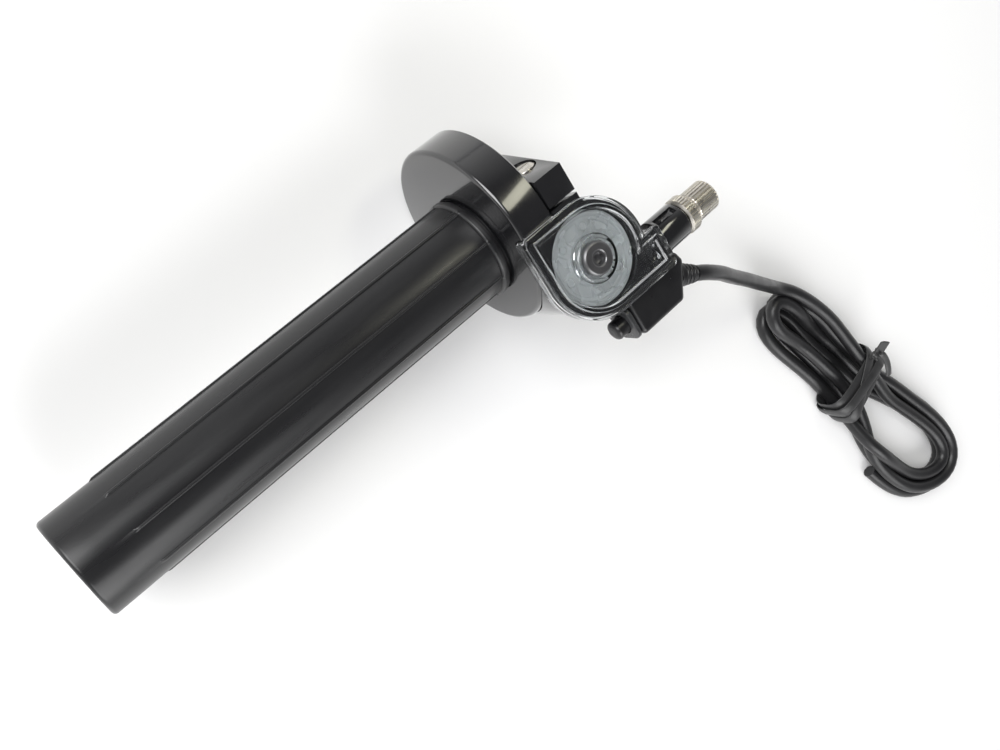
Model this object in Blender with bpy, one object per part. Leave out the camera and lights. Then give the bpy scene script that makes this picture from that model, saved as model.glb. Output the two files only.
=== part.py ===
"""Quick-action twist throttle for a 22 mm handlebar, with a side kill switch.

All sizes are millimetres in the bar frame: X runs along the handlebar axis from
the open end of the throttle tube towards the clamp, Z points up out of the clear
cover, and the bar axis is Y = Z = 0.  The empty "bar_axis" carries that frame
into the world, where the drum's lowest point stands on Z = 0.
"""
import math

import bmesh
import bpy
from mathutils import Matrix, Vector

MM = 0.001
GAP = 0.3

# Throttle tube and its winding drum
TUBE_R = 13.0
BORE_R = 11.2
RIB_COUNT = 8
RIB_FIRST_DEG = -9.0
RIB_FOOT_DEG, RIB_CREST_DEG = 2.1, 1.4
RIB_HEIGHT = 0.45
RIB_START_X = 14.0
COLLAR_START_X = 117.6
COLLAR_R = 13.9
WIND_CORE_R = 15.6
WIND_FLANGE_R = 19.0
WIND_FLOOR_R = 17.4
WIND_X0, TUBE_END_X = 122.1, 128.4
SECTOR_DEG = (60.0, 175.0)

# Drum shell: its axis stands off the bar axis, away from the switch
SHELL_Y = 2.3
SHELL_X0, SHELL_X1 = 120.3, 130.4
SHELL_R = 25.3
SHELL_IN_R = 23.6
SHELL_BORE_R = 13.5
FACE_T = 1.5
SHELL_SCREW_R = 21.2
SHELL_SCREW_DEG = (215.0, 325.0)

# Roller, its chamber and the cable line
CABLE_X = 125.9
ROLLER_Y = -14.4
GROOVE_R = 8.3
ROLLER_X = CABLE_X + GROOVE_R
ROLLER_R = 12.0
ROLLER_Z0, ROLLER_Z1 = 18.8, 24.0
CABLE_Z = 0.5 * (ROLLER_Z0 + ROLLER_Z1)
CABLE_Y = ROLLER_Y - GROOVE_R
CHAMBER_R = 12.4
CHAMBER_Z = 18.3

# Housing, cover and clamp
HOUSING_R = 13.9
HOUSING_END_X = 152.5
HOUSING_TOP_Z = 25.4
COVER_R = 15.0
COVER_SKIRT_T = 0.8
COVER_END_X = 153.6
COVER_Z0, COVER_Z1 = 25.7, 27.0
SKIRT_Z = 22.2
LUG_HALF = 5.2
CLAMP_X0, CLAMP_X1 = 130.7, 139.3
CLAMP_R = 14.7
CLAMP_TOP_Z = 25.2
JAW_Y = 9.6
SLIT_Y0, SLIT_Y1 = 1.4, 2.2
BOLT_X, BOLT_Z = 135.0, 15.4

# Adjuster
BOSS_X0, BOSS_X1 = 154.0, 162.9
BOSS_R = 5.0
BOSS_NECK_R = 3.9
NUT_X0, NUT_X1 = 163.3, 166.9
NUT_R = 5.2
HEAD_X1 = 174.9
HEAD_R = 4.3
THREAD_R = 2.9
SEAT_X0 = 171.4
SEAT_R = 2.3

# Kill switch
SWITCH_Y, SWITCH_Z = -36.2, 17.0
SWITCH_X0 = 137.9
SWITCH_Z0, SWITCH_Z1 = 12.4, 21.4
SWITCH_INNER_Y, SWITCH_OUTER_Y = -28.9, -41.0
EAR_SCREW_X, EAR_SCREW_Z = 146.0, 8.0
RELIEF_ROOT = (156.9, -35.9, 17.0)
RELIEF_DIR = Vector((0.86, -0.51, 0.0)).normalized()
RELIEF_LENGTH = 6.2

# Lead
CORD_R = 2.15
FLOOR_Z = -SHELL_R

BAR = None


# --- shared helpers -------------------------------------------------------------

def material(name, colour, roughness, metallic=0.0, alpha=1.0):
    mat = bpy.data.materials.new(name)
    mat.use_nodes = True
    shader = mat.node_tree.nodes["Principled BSDF"]
    shader.inputs["Base Color"].default_value = (*colour, 1.0)
    shader.inputs["Roughness"].default_value = roughness
    shader.inputs["Metallic"].default_value = metallic
    shader.inputs["Alpha"].default_value = alpha
    mat.diffuse_color = (*colour, alpha)
    return mat


def make_object(name, bm, mat, at=(0, 0, 0)):
    """Turn a bmesh in bar-frame millimetres into an object with its origin at `at`."""
    bmesh.ops.recalc_face_normals(bm, faces=bm.faces)
    bmesh.ops.translate(bm, verts=bm.verts, vec=-Vector(at))
    bmesh.ops.scale(bm, verts=bm.verts, vec=(MM, MM, MM))
    mesh = bpy.data.meshes.new(name)
    bm.to_mesh(mesh)
    bm.free()
    mesh.shade_smooth()
    mesh.set_sharp_from_angle(angle=math.radians(35))
    obj = bpy.data.objects.new(name, mesh)
    obj.data.materials.append(mat)
    bpy.context.collection.objects.link(obj)
    obj.parent = BAR
    obj.location = Vector(at) * MM
    return obj


def skin(rings, closed=False):
    """Join rings of equal point count; closed wraps the last ring to the first."""
    bm = bmesh.new()
    grid = [[bm.verts.new(p) for p in ring] for ring in rings]
    count = len(grid[0])
    pairs = list(zip(grid, grid[1:]))
    if closed:
        pairs.append((grid[-1], grid[0]))
    for low, high in pairs:
        for i in range(count):
            j = (i + 1) % count
            bm.faces.new((low[i], low[j], high[j], high[i]))
    if not closed:
        bm.faces.new(list(reversed(grid[0])))
        bm.faces.new(grid[-1])
    return bm


def frame_for(axis):
    """Rotation that carries local Z onto the given axis."""
    return Vector((0, 0, 1)).rotation_difference(Vector(axis)).to_matrix()


def turned(profile, axis, base, count=48, closed=False):
    """Turn (height, radius) pairs about an axis line through base."""
    turn = frame_for(axis)
    rings = []
    for height, radius in profile:
        ring = []
        for i in range(count):
            a = 2 * math.pi * i / count
            local = Vector((radius * math.cos(a), radius * math.sin(a), height))
            ring.append(turn @ local + Vector(base))
        rings.append(ring)
    return skin(rings, closed)


def arc(cx, cy, radius, start, end, steps):
    span = math.radians(end - start)
    first = math.radians(start)
    return [(cx + radius * math.cos(first + span * i / steps),
             cy + radius * math.sin(first + span * i / steps)) for i in range(steps + 1)]


def prism(outline, low, high, axis="Z"):
    """Extrude an outline of (u, v) pairs: XY along Z, or YZ along X."""
    if axis == "Z":
        rings = [[(u, v, h) for u, v in outline] for h in (low, high)]
    else:
        rings = [[(h, u, v) for u, v in outline] for h in (low, high)]
    return skin(rings)


def block(x0, x1, y0, y1, z0, z1):
    return prism([(x0, y0), (x1, y0), (x1, y1), (x0, y1)], z0, z1)


def boolean(target, operation, name, bm):
    """Add or cut a guide solid, which stays hidden."""
    guide = make_object("guide_" + name, bm, target.data.materials[0])
    guide.hide_render = True
    guide.display_type = "WIRE"
    step = target.modifiers.new(name, "BOOLEAN")
    step.operation = operation
    step.solver = "EXACT"
    step.object = guide


def cut(target, name, bm):
    boolean(target, "DIFFERENCE", name, bm)


def join(target, name, bm):
    boolean(target, "UNION", name, bm)


def rod(axis, base, length, radius, count=24):
    return turned([(0, radius), (length, radius)], axis, base, count)


def polar_yz(radius, degrees):
    a = math.radians(degrees)
    return radius * math.cos(a), radius * math.sin(a)


# --- outlines -------------------------------------------------------------------

def lug_outline(radius, end_x, inset):
    """Roller circle with a square corner at -X +Y and a cable lug towards +X."""
    cx, cy = ROLLER_X, ROLLER_Y
    lug_top = CABLE_Y + LUG_HALF - inset
    meet = math.degrees(math.asin((lug_top - cy) / radius))
    points = [(cx - radius, cy + radius - 1.2), (cx - radius + 1.2, cy + radius)]
    points += arc(cx, cy, radius, 90, meet, 16)
    points += [(end_x, lug_top), (end_x, cy - radius)]
    points += arc(cx, cy, radius, 270, 180, 14)
    return points


# --- throttle tube --------------------------------------------------------------

def tube_angles():
    """Ribs stand evenly round the tube; each has two foot and two crest angles."""
    angles = []
    pitch = 360.0 / RIB_COUNT
    for k in range(RIB_COUNT):
        centre = RIB_FIRST_DEG + k * pitch
        angles += [(centre - RIB_FOOT_DEG, False), (centre - RIB_CREST_DEG, True),
                   (centre + RIB_CREST_DEG, True), (centre + RIB_FOOT_DEG, False)]
        step = (pitch - 2 * RIB_FOOT_DEG) / 6
        angles += [(centre + RIB_FOOT_DEG + step * i, False) for i in range(1, 6)]
    return angles


def in_sector(degrees):
    return SECTOR_DEG[0] <= degrees % 360 <= SECTOR_DEG[1]


def make_throttle_tube(mat):
    angles = tube_angles()

    def ring(x, plain, rib=None, sector=None):
        points = []
        for degrees, crest in angles:
            radius = plain
            if crest and rib:
                radius = rib
            if sector and in_sector(degrees):
                radius = sector
            points.append((x, *polar_yz(radius, degrees)))
        return points

    rib_r = TUBE_R + RIB_HEIGHT
    flange0, flange1 = CABLE_X - 1.8, CABLE_X + 1.8
    groove0, groove1 = CABLE_X - 0.9, CABLE_X + 0.9
    rings = [ring(0.4, BORE_R), ring(0.0, BORE_R + 0.4), ring(0.0, TUBE_R - 0.8),
             ring(0.25, TUBE_R - 0.3), ring(0.9, TUBE_R), ring(RIB_START_X, TUBE_R),
             ring(RIB_START_X + 0.7, TUBE_R, rib_r), ring(COLLAR_START_X, TUBE_R, rib_r),
             ring(COLLAR_START_X + 0.7, COLLAR_R), ring(SHELL_X0 - 0.9, COLLAR_R),
             ring(SHELL_X0 - 0.5, TUBE_R), ring(WIND_X0, TUBE_R), ring(WIND_X0 + 0.2, WIND_CORE_R),
             ring(flange0, WIND_CORE_R), ring(flange0 + 0.2, WIND_CORE_R, None, WIND_FLANGE_R),
             ring(groove0, WIND_CORE_R, None, WIND_FLANGE_R),
             ring(groove0 + 0.2, WIND_CORE_R, None, WIND_FLOOR_R),
             ring(groove1 - 0.2, WIND_CORE_R, None, WIND_FLOOR_R),
             ring(groove1, WIND_CORE_R, None, WIND_FLANGE_R),
             ring(flange1 - 0.2, WIND_CORE_R, None, WIND_FLANGE_R),
             ring(flange1, WIND_CORE_R), ring(TUBE_END_X, WIND_CORE_R), ring(TUBE_END_X, BORE_R)]
    tube = make_object("throttle_tube", skin(rings, closed=True), mat)
    nipple = polar_yz(WIND_FLOOR_R - 0.2, SECTOR_DEG[0] + 12)
    cut(tube, "nipple_pocket", rod((1, 0, 0), (CABLE_X - 1.1, *nipple), 6.0, 1.5, 20))
    return tube


# --- drum shell and housing -----------------------------------------------------

def drum_envelope(x0, x1):
    """The space the drum shell needs, with clearance."""
    return rod((1, 0, 0), (x0, SHELL_Y, 0), x1 - x0, SHELL_R + GAP, 96)


def shell_screw_places():
    """(y, z) of the screws that hold the shell, on a circle about the shell's own axis."""
    return [(y + SHELL_Y, z) for y, z in (polar_yz(SHELL_SCREW_R, d) for d in SHELL_SCREW_DEG)]


def roller_chamber():
    return rod((0, 0, 1), (ROLLER_X, ROLLER_Y, CHAMBER_Z), 12.0, CHAMBER_R, 64)


def make_drum_shell(mat):
    lip = SHELL_X1 - SHELL_X0
    hole_r = SHELL_BORE_R - SHELL_Y - 1.0
    profile = [(0, hole_r), (0, SHELL_R - 1.1), (0.35, SHELL_R - 0.35), (1.1, SHELL_R),
               (lip - 0.3, SHELL_R), (lip, SHELL_R - 0.3), (lip, SHELL_IN_R),
               (FACE_T, SHELL_IN_R), (FACE_T, hole_r)]
    cup = turned(profile, (1, 0, 0), (SHELL_X0, SHELL_Y, 0), 96, True)
    shell = make_object("drum_shell", cup, mat)
    cut(shell, "tube_hole", rod((1, 0, 0), (SHELL_X0 - 1, 0, 0), 4.0, SHELL_BORE_R, 72))
    for y, z in shell_screw_places():
        join(shell, "screw_post", rod((1, 0, 0), (SHELL_X0 + 1.2, y, z), 6.9, 3.2))
        cut(shell, "screw_hole", rod((1, 0, 0), (SHELL_X0 + 2.5, y, z), 8.0, 1.15, 16))
    cut(shell, "roller_chamber", roller_chamber())
    return shell


def clamp_outline():
    """Clamp ring below the bar, with a straight-sided jaw that narrows upwards."""
    points = [(JAW_Y, CLAMP_TOP_Z), (-10.0, CLAMP_TOP_Z), (-14.6, 10.0)]
    points += arc(0, 0, CLAMP_R, 176, 375, 22)
    return points


def make_roller_housing(mat):
    outline = lug_outline(HOUSING_R, HOUSING_END_X, 1.1)
    housing = make_object("roller_housing", prism(outline, 0.0, HOUSING_TOP_Z), mat)
    cut(housing, "drum_space", drum_envelope(118.0, CLAMP_X0))
    join(housing, "rear_plate", rod((1, 0, 0), (128.7, SHELL_Y, 0), 2.6, SHELL_IN_R - GAP, 72))
    join(housing, "clamp_block", prism(clamp_outline(), CLAMP_X0, CLAMP_X1, "X"))
    neck = BOSS_X0 - HOUSING_END_X
    boss_end = BOSS_X1 - HOUSING_END_X + 1.0
    boss = [(0, BOSS_NECK_R), (neck + 1.0, BOSS_NECK_R), (neck + 1.0, BOSS_R),
            (boss_end - 0.4, BOSS_R), (boss_end, BOSS_R - 0.4)]
    boss_base = (HOUSING_END_X - 1.0, CABLE_Y, CABLE_Z)
    join(housing, "adjuster_boss", turned(boss, (1, 0, 0), boss_base, 40))
    cut(housing, "bar_bore", rod((1, 0, 0), (110.0, 0, 0), 60.0, BORE_R, 72))
    cut(housing, "chamber", roller_chamber())
    cut(housing, "slit", block(128.0, CLAMP_X1 + 1, SLIT_Y0, SLIT_Y1, 9.0, 27.0))
    cut(housing, "bolt_hole", rod((0, 1, 0), (BOLT_X, -8.0, BOLT_Z), 26.0, 2.1))
    cut(housing, "bolt_pocket", rod((0, 1, 0), (BOLT_X, 8.7, BOLT_Z), 10.0, 3.9, 32))
    cut(housing, "roller_screw_hole", rod((0, 0, 1), (ROLLER_X, ROLLER_Y, 5.0), 16.0, 2.7, 32))
    cut(housing, "cable_exit", rod((1, 0, 0), (ROLLER_X, CABLE_Y, CABLE_Z), 12.0, 1.6, 20))
    cut(housing, "adjuster_thread", rod((1, 0, 0), (145.6, CABLE_Y, CABLE_Z), 24.0, 3.2, 32))
    cut(housing, "switch_screw_hole", rod((0, 1, 0), (EAR_SCREW_X, -32.0, EAR_SCREW_Z), 10.5, 1.7, 20))
    for y, z in shell_screw_places():
        cut(housing, "shell_screw_hole", rod((1, 0, 0), (127.0, y, z), 8.0, 1.35, 16))
    return housing


def make_clear_cover(mat):
    outline = lug_outline(COVER_R, COVER_END_X, 0.0)
    cover = make_object("clear_cover", prism(outline, SKIRT_Z, COVER_Z1), mat)
    inner = lug_outline(COVER_R - COVER_SKIRT_T, COVER_END_X + 3, COVER_SKIRT_T)
    cut(cover, "inside", prism(inner, SKIRT_Z - 1, COVER_Z0))
    cut(cover, "lug_skirt", block(149.5, 160, -40, 10, SKIRT_Z - 1, COVER_Z0))
    cut(cover, "clamp_side", block(130.0, CLAMP_X1 + GAP, -3, 3, SKIRT_Z - 1, COVER_Z0))
    cut(cover, "drum_space", drum_envelope(COVER_SKIRT_T + ROLLER_X - COVER_R, 131.2))
    ridge = lug_outline(COVER_R - 2.2, COVER_END_X - 1.1, 2.2)
    join(cover, "ridge", prism(ridge, COVER_Z1 - 0.3, COVER_Z1 + 0.6))
    window = lug_outline(COVER_R - 3.0, COVER_END_X - 1.9, 3.0)
    cut(cover, "window", prism(window, COVER_Z1 - 0.2, COVER_Z1 + 2))
    centre = (ROLLER_X, ROLLER_Y, 0)
    join(cover, "screw_cup", turned([(24.3, 6.0), (26.95, 6.4)], (0, 0, 1), centre, 40))
    cut(cover, "screw_seat", turned([(25.15, 4.75), (28.5, 4.75)], (0, 0, 1), centre, 40))
    cut(cover, "screw_way", turned([(23.0, 2.7), (27.0, 2.7)], (0, 0, 1), centre, 32))
    return cover


def make_shell_screws(mat):
    for label, (y, z) in zip(("upper", "lower"), shell_screw_places()):
        profile = [(-7.2, 0.7), (-6.6, 0.9), (0.0, 0.9), (0.0, 2.0), (0.9, 1.9), (1.4, 1.2)]
        base = (131.6, y, z)
        screw = make_object("shell_screw_" + label, turned(profile, (1, 0, 0), base, 20), mat, base)
        cut(screw, "slot_a", block(132.5, 134, y - 0.25, y + 0.25, z - 1, z + 1))


# --- roller ---------------------------------------------------------------------

def make_roller(mat):
    centre = (ROLLER_X, ROLLER_Y, 0)
    mid = CABLE_Z
    profile = [(ROLLER_Z0, 3.8), (ROLLER_Z0, ROLLER_R), (ROLLER_Z0 + 0.9, ROLLER_R),
               (mid - 0.5, GROOVE_R - 0.7), (mid + 0.5, GROOVE_R - 0.7),
               (ROLLER_Z1 - 0.9, ROLLER_R), (ROLLER_Z1, ROLLER_R), (ROLLER_Z1, 10.6),
               (ROLLER_Z1 - 0.9, 10.4), (ROLLER_Z1 - 0.9, 5.8), (ROLLER_Z1 - 0.3, 5.6),
               (ROLLER_Z1 - 0.3, 3.8)]
    roller = make_object("roller", turned(profile, (0, 0, 1), centre, 60, True), mat, centre)
    for k in range(6):
        a = math.radians(60 * k)
        spot = (ROLLER_X + 7.6 * math.cos(a), ROLLER_Y + 7.6 * math.sin(a), ROLLER_Z1 - 1.6)
        cut(roller, "lightening", rod((0, 0, 1), spot, 4.0, 1.5, 16))
    return roller


def make_roller_bush(mat):
    profile = [(ROLLER_Z0 - 0.2, 2.7), (ROLLER_Z0 - 0.2, 3.7), (ROLLER_Z1, 3.7), (ROLLER_Z1, 2.7)]
    centre = (ROLLER_X, ROLLER_Y, 0)
    make_object("roller_bush", turned(profile, (0, 0, 1), centre, 48, True), mat, centre)


def make_roller_screw(mat):
    centre = (ROLLER_X, ROLLER_Y, 0)
    profile = [(6.0, 1.9), (6.6, 2.4), (25.45, 2.4), (25.45, 4.35), (27.1, 4.35), (27.5, 3.9)]
    screw = make_object("roller_screw", turned(profile, (0, 0, 1), centre, 40), mat, centre)
    cut(screw, "hex_socket", turned([(25.9, 1.75), (28.5, 1.75)], (0, 0, 1), centre, 6))


# --- clamp bolt -----------------------------------------------------------------

def make_clamp_bolt(mat):
    base = (BOLT_X, 9.0, BOLT_Z)
    profile = [(-16.5, 1.5), (-16.0, 1.9), (0.0, 1.9), (0.0, 3.4), (2.2, 3.4), (2.9, 2.6)]
    bolt = make_object("clamp_bolt", turned(profile, (0, 1, 0), base, 32), mat, base)
    slot = block(BOLT_X - 3.6, BOLT_X + 3.6, 10.9, 13.0, BOLT_Z - 0.4, BOLT_Z + 0.4)
    cut(bolt, "drive_slot", slot)


# --- adjuster -------------------------------------------------------------------

def knurled(profile, base, count, depth, closed):
    """Turned part whose listed rings alternate between crest and root."""
    rings = []
    for height, radius, grooved in profile:
        ring = []
        for i in range(count):
            r = radius - (depth if grooved and i % 2 else 0.0)
            y, z = polar_yz(r, 360.0 * i / count)
            ring.append((base[0] + height, base[1] + y, base[2] + z))
        rings.append(ring)
    return skin(rings, closed)


def make_adjuster(metal, plastic):
    line = (0, CABLE_Y, CABLE_Z)
    x0 = NUT_X1 + GAP
    screw = [(146.0, 1.3, False), (146.0, THREAD_R - 0.3, False), (146.6, THREAD_R, False),
             (x0, THREAD_R, False), (x0, HEAD_R - 0.6, False), (x0 + 0.5, HEAD_R, True),
             (HEAD_X1 - 0.5, HEAD_R, True), (HEAD_X1, HEAD_R - 0.5, False),
             (HEAD_X1, SEAT_R + GAP, False), (SEAT_X0 - GAP, SEAT_R + GAP, False),
             (SEAT_X0 - GAP, 1.3, False)]
    make_object("adjuster_screw", knurled(screw, line, 48, 0.28, True), metal, line)
    thread = THREAD_R + GAP
    nut = [(NUT_X0, thread, False), (NUT_X0, NUT_R - 0.6, False), (NUT_X0 + 0.5, NUT_R, True),
           (NUT_X1 - 0.5, NUT_R, True), (NUT_X1, NUT_R - 0.6, False), (NUT_X1, thread, False)]
    make_object("adjuster_lock_nut", knurled(nut, line, 56, 0.28, True), metal, line)
    rim, floor = HEAD_X1 - 0.2, SEAT_X0 + 0.7
    seat = [(SEAT_X0, 1.0), (SEAT_X0, SEAT_R), (rim, SEAT_R), (rim, SEAT_R - 0.4),
            (floor, SEAT_R - 0.4), (floor, 1.0)]
    make_object("cable_seat", turned(seat, (1, 0, 0), line, 28, True), plastic, line)


# --- kill switch ----------------------------------------------------------------

def switch_outline():
    """Plan of the switch case: its far corner is cut square to the cord."""
    return [(SWITCH_X0, SWITCH_INNER_Y), (SWITCH_X0, SWITCH_OUTER_Y), (153.4, SWITCH_OUTER_Y),
            (159.0, -32.2), (158.0, SWITCH_INNER_Y)]


def make_switch_body(mat):
    body = make_object("switch_body", prism(switch_outline(), SWITCH_Z0, SWITCH_Z1), mat)
    edges = body.modifiers.new("rounded_edges", "BEVEL")
    edges.width = 1.5 * MM
    edges.segments = 3
    edges.limit_method = "ANGLE"
    ear = block(EAR_SCREW_X - 4.5, EAR_SCREW_X + 4.5, SWITCH_INNER_Y - 2.3, SWITCH_INNER_Y,
                EAR_SCREW_Z - 4.6, SWITCH_Z0 + 1.2)
    join(body, "screw_ear", ear)
    cut(body, "plunger_way", rod((1, 0, 0), (SWITCH_X0 - 2, SWITCH_Y, SWITCH_Z), 16.1, 3.5, 32))
    for side in (-1, 1):
        way = (150.0, SWITCH_Y, SWITCH_Z + 2.5 * side)
        cut(body, "post_way", rod((1, 0, 0), way, 4.2, 0.8, 12))
    cut(body, "ear_hole", rod((0, 1, 0), (EAR_SCREW_X, -33.0, EAR_SCREW_Z), 6.0, 1.7, 20))
    root = Vector(RELIEF_ROOT) - RELIEF_DIR * 2.3
    cut(body, "relief_socket", rod(RELIEF_DIR, root, 8.0, 2.2, 24))


def make_switch_cap(mat):
    outline = []
    for cy, cz, start in ((-38.6, 14.8, 180), (-33.8, 14.8, 270), (-33.8, 19.2, 0), (-38.6, 19.2, 90)):
        outline += arc(cy, cz, 2.2, start, start + 90, 5)
    cap = make_object("switch_cap", prism(outline, 136.2, SWITCH_X0 - GAP, "X"), mat)
    cut(cap, "button_hole", rod((1, 0, 0), (135.0, SWITCH_Y, SWITCH_Z), 5.0, 2.85, 32))


def make_kill_button(mat, metal):
    base = (132.4, SWITCH_Y, SWITCH_Z)
    profile = [(0.0, 1.6), (0.25, 2.2), (0.8, 2.6), (5.8, 2.6), (5.8, 3.2), (6.7, 3.2),
               (6.7, 1.1), (11.6, 1.1)]
    make_object("kill_button", turned(profile, (1, 0, 0), base, 36), mat, base)
    disc = (base[0] + 11.9, SWITCH_Y, SWITCH_Z)
    make_object("contact_disc", rod((1, 0, 0), disc, 0.6, 2.95, 32), metal, disc)


def make_button_spring(mat):
    """Wire spring behind the contact disc, as a swept round wire."""
    turns, steps, coil_r, wire_r = 6, 14, 1.25, 0.25
    x0, x1 = 145.4, 151.5
    total = turns * steps
    rings = []
    for i in range(total + 1):
        a = 2 * math.pi * i / steps
        radial = Vector((0, math.cos(a), math.sin(a)))
        centre = Vector((x0 + (x1 - x0) * i / total, SWITCH_Y, SWITCH_Z)) + coil_r * radial
        rings.append([centre + wire_r * (math.cos(b) * radial + math.sin(b) * Vector((1, 0, 0)))
                      for b in (2 * math.pi * k / 6 for k in range(6))])
    make_object("button_spring", skin(rings), mat)


def make_contact_posts(mat):
    for label, side in (("upper", 1), ("lower", -1)):
        base = (147.5, SWITCH_Y, SWITCH_Z + 2.5 * side)
        make_object("contact_post_" + label, rod((1, 0, 0), base, 6.3, 0.5, 16), mat, base)


def make_switch_screw(mat):
    base = (EAR_SCREW_X, SWITCH_INNER_Y - 2.6, EAR_SCREW_Z)
    profile = [(-1.6, 1.6), (-1.2, 2.4), (0.0, 2.7), (0.0, 1.4), (8.8, 1.4), (9.4, 0.8)]
    screw = make_object("switch_screw", turned(profile, (0, 1, 0), base, 24), mat, base)
    cut(screw, "drive_slot", block(EAR_SCREW_X - 3, EAR_SCREW_X + 3, -34.0, -32.5,
                                  EAR_SCREW_Z - 0.3, EAR_SCREW_Z + 0.3))


def relief_end():
    return Vector(RELIEF_ROOT) + RELIEF_DIR * RELIEF_LENGTH


def make_strain_relief(mat):
    """Moulded boot: a plug in the case, then a taper with raised rings."""
    profile = [(-2.0, 1.9), (0.3, 1.9), (0.3, 3.3)]
    rings = 3
    pitch = (RELIEF_LENGTH - 1.6) / rings
    for k in range(rings):
        start = 0.8 + k * pitch
        outer = 3.3 - 0.25 * k
        profile += [(start, outer), (start + 0.55 * pitch, outer), (start + 0.6 * pitch, outer - 0.5),
                    (start + 0.95 * pitch, outer - 0.5)]
    profile += [(RELIEF_LENGTH, 2.5)]
    make_object("strain_relief", turned(profile, RELIEF_DIR, RELIEF_ROOT, 28), mat)


# --- lead -----------------------------------------------------------------------

# The lead leaves the boot, falls to the table and runs up to the hank.
LEAD_ROUTE = [(172.2, -46.0, 13.4), (177.6, -50.8, 8.4), (183.4, -55.8, 4.0),
              (189.6, -61.1, -0.9), (195.8, -66.8, -5.8), (201.4, -72.0, -10.4),
              (206.9, -77.5, -15.0)]


def catmull_rom(a, b, c, d, t):
    return 0.5 * (2 * b + (c - a) * t + (2 * a - 5 * b + 4 * c - d) * t * t
                  + (3 * b - a - 3 * c + d) * t ** 3)


def smooth_path(route, samples):
    """Catmull-Rom curve through an open route, with the same samples in each span."""
    pts = [Vector(p) for p in route]
    pts = [2 * pts[0] - pts[1]] + pts + [2 * pts[-1] - pts[-2]]
    spans = [pts[i:i + 4] for i in range(len(pts) - 3)]
    return [catmull_rom(*span, k / samples) for span in spans for k in range(samples)] + [pts[-2]]


def smooth_ring(outline, samples):
    """The same curve through a closed outline."""
    count = len(outline)
    pts = [Vector(p) for p in outline]
    spans = [[pts[(i + j) % count] for j in range(-1, 3)] for i in range(count)]
    return [catmull_rom(*span, k / samples) for span in spans for k in range(samples)]


def make_lead(mat):
    straight = [relief_end() + RELIEF_DIR * run for run in (2 * GAP, 3.2)]
    points = smooth_path(straight + LEAD_ROUTE, 2)
    curve = bpy.data.curves.new("cord_lead", "CURVE")
    curve.dimensions = "3D"
    curve.bevel_depth = CORD_R * MM
    curve.bevel_resolution = 2
    curve.use_fill_caps = True
    spline = curve.splines.new("POLY")
    spline.points.add(len(points) - 1)
    for target, p in zip(spline.points, points):
        target.co = (*(p * MM), 1.0)
    lead = bpy.data.objects.new("cord_lead", curve)
    lead.data.materials.append(mat)
    bpy.context.collection.objects.link(lead)
    lead.parent = BAR


# Outer shape of the tied hank on the table: a small loop, a waist, a large loop.
HANK_OUTLINE = [(206.5, -80.5), (215.5, -88.5), (221.5, -102.0), (226.8, -116.5), (229.3, -126.0),
                (238.5, -140.0), (248.0, -157.0), (251.3, -171.0), (248.5, -181.5),
                (240.0, -186.3), (229.0, -184.5), (218.0, -176.5), (210.8, -162.0),
                (208.5, -148.0), (210.5, -134.0), (209.8, -125.0), (205.6, -111.0),
                (200.5, -98.0), (197.5, -88.0), (200.0, -82.0)]
HANK_HEIGHT = 12.0
TIE_CENTRE = (219.5, -124.5)
TIE_TURN = math.radians(-68.0)
TIE_HALF = 11.9


def make_hank(mat):
    outline = [tuple(p) for p in smooth_ring(HANK_OUTLINE, 2)]
    make_object("cord_hank", prism(outline, FLOOR_Z, FLOOR_Z + HANK_HEIGHT), mat)


def make_twist_tie(mat):
    """Band across the waist of the hank, open where the hank lies on the table."""
    low, top, half = FLOOR_Z, FLOOR_Z + HANK_HEIGHT + GAP, TIE_HALF
    section = [(-half - 1.2, low), (-half, low), (-half, top), (half, top), (half, low),
               (half + 1.2, low), (half + 1.2, top + 1.2), (-half - 1.2, top + 1.2)]
    bm = prism(section, -4.5, 4.5, "X")
    bmesh.ops.rotate(bm, verts=bm.verts, cent=(0, 0, 0), matrix=Matrix.Rotation(TIE_TURN, 3, "Z"))
    bmesh.ops.translate(bm, verts=bm.verts, vec=(*TIE_CENTRE, 0))
    make_object("twist_tie", bm, mat)


# --- assembly -------------------------------------------------------------------

def clear_scene():
    for obj in list(bpy.data.objects):
        bpy.data.objects.remove(obj, do_unlink=True)


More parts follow.
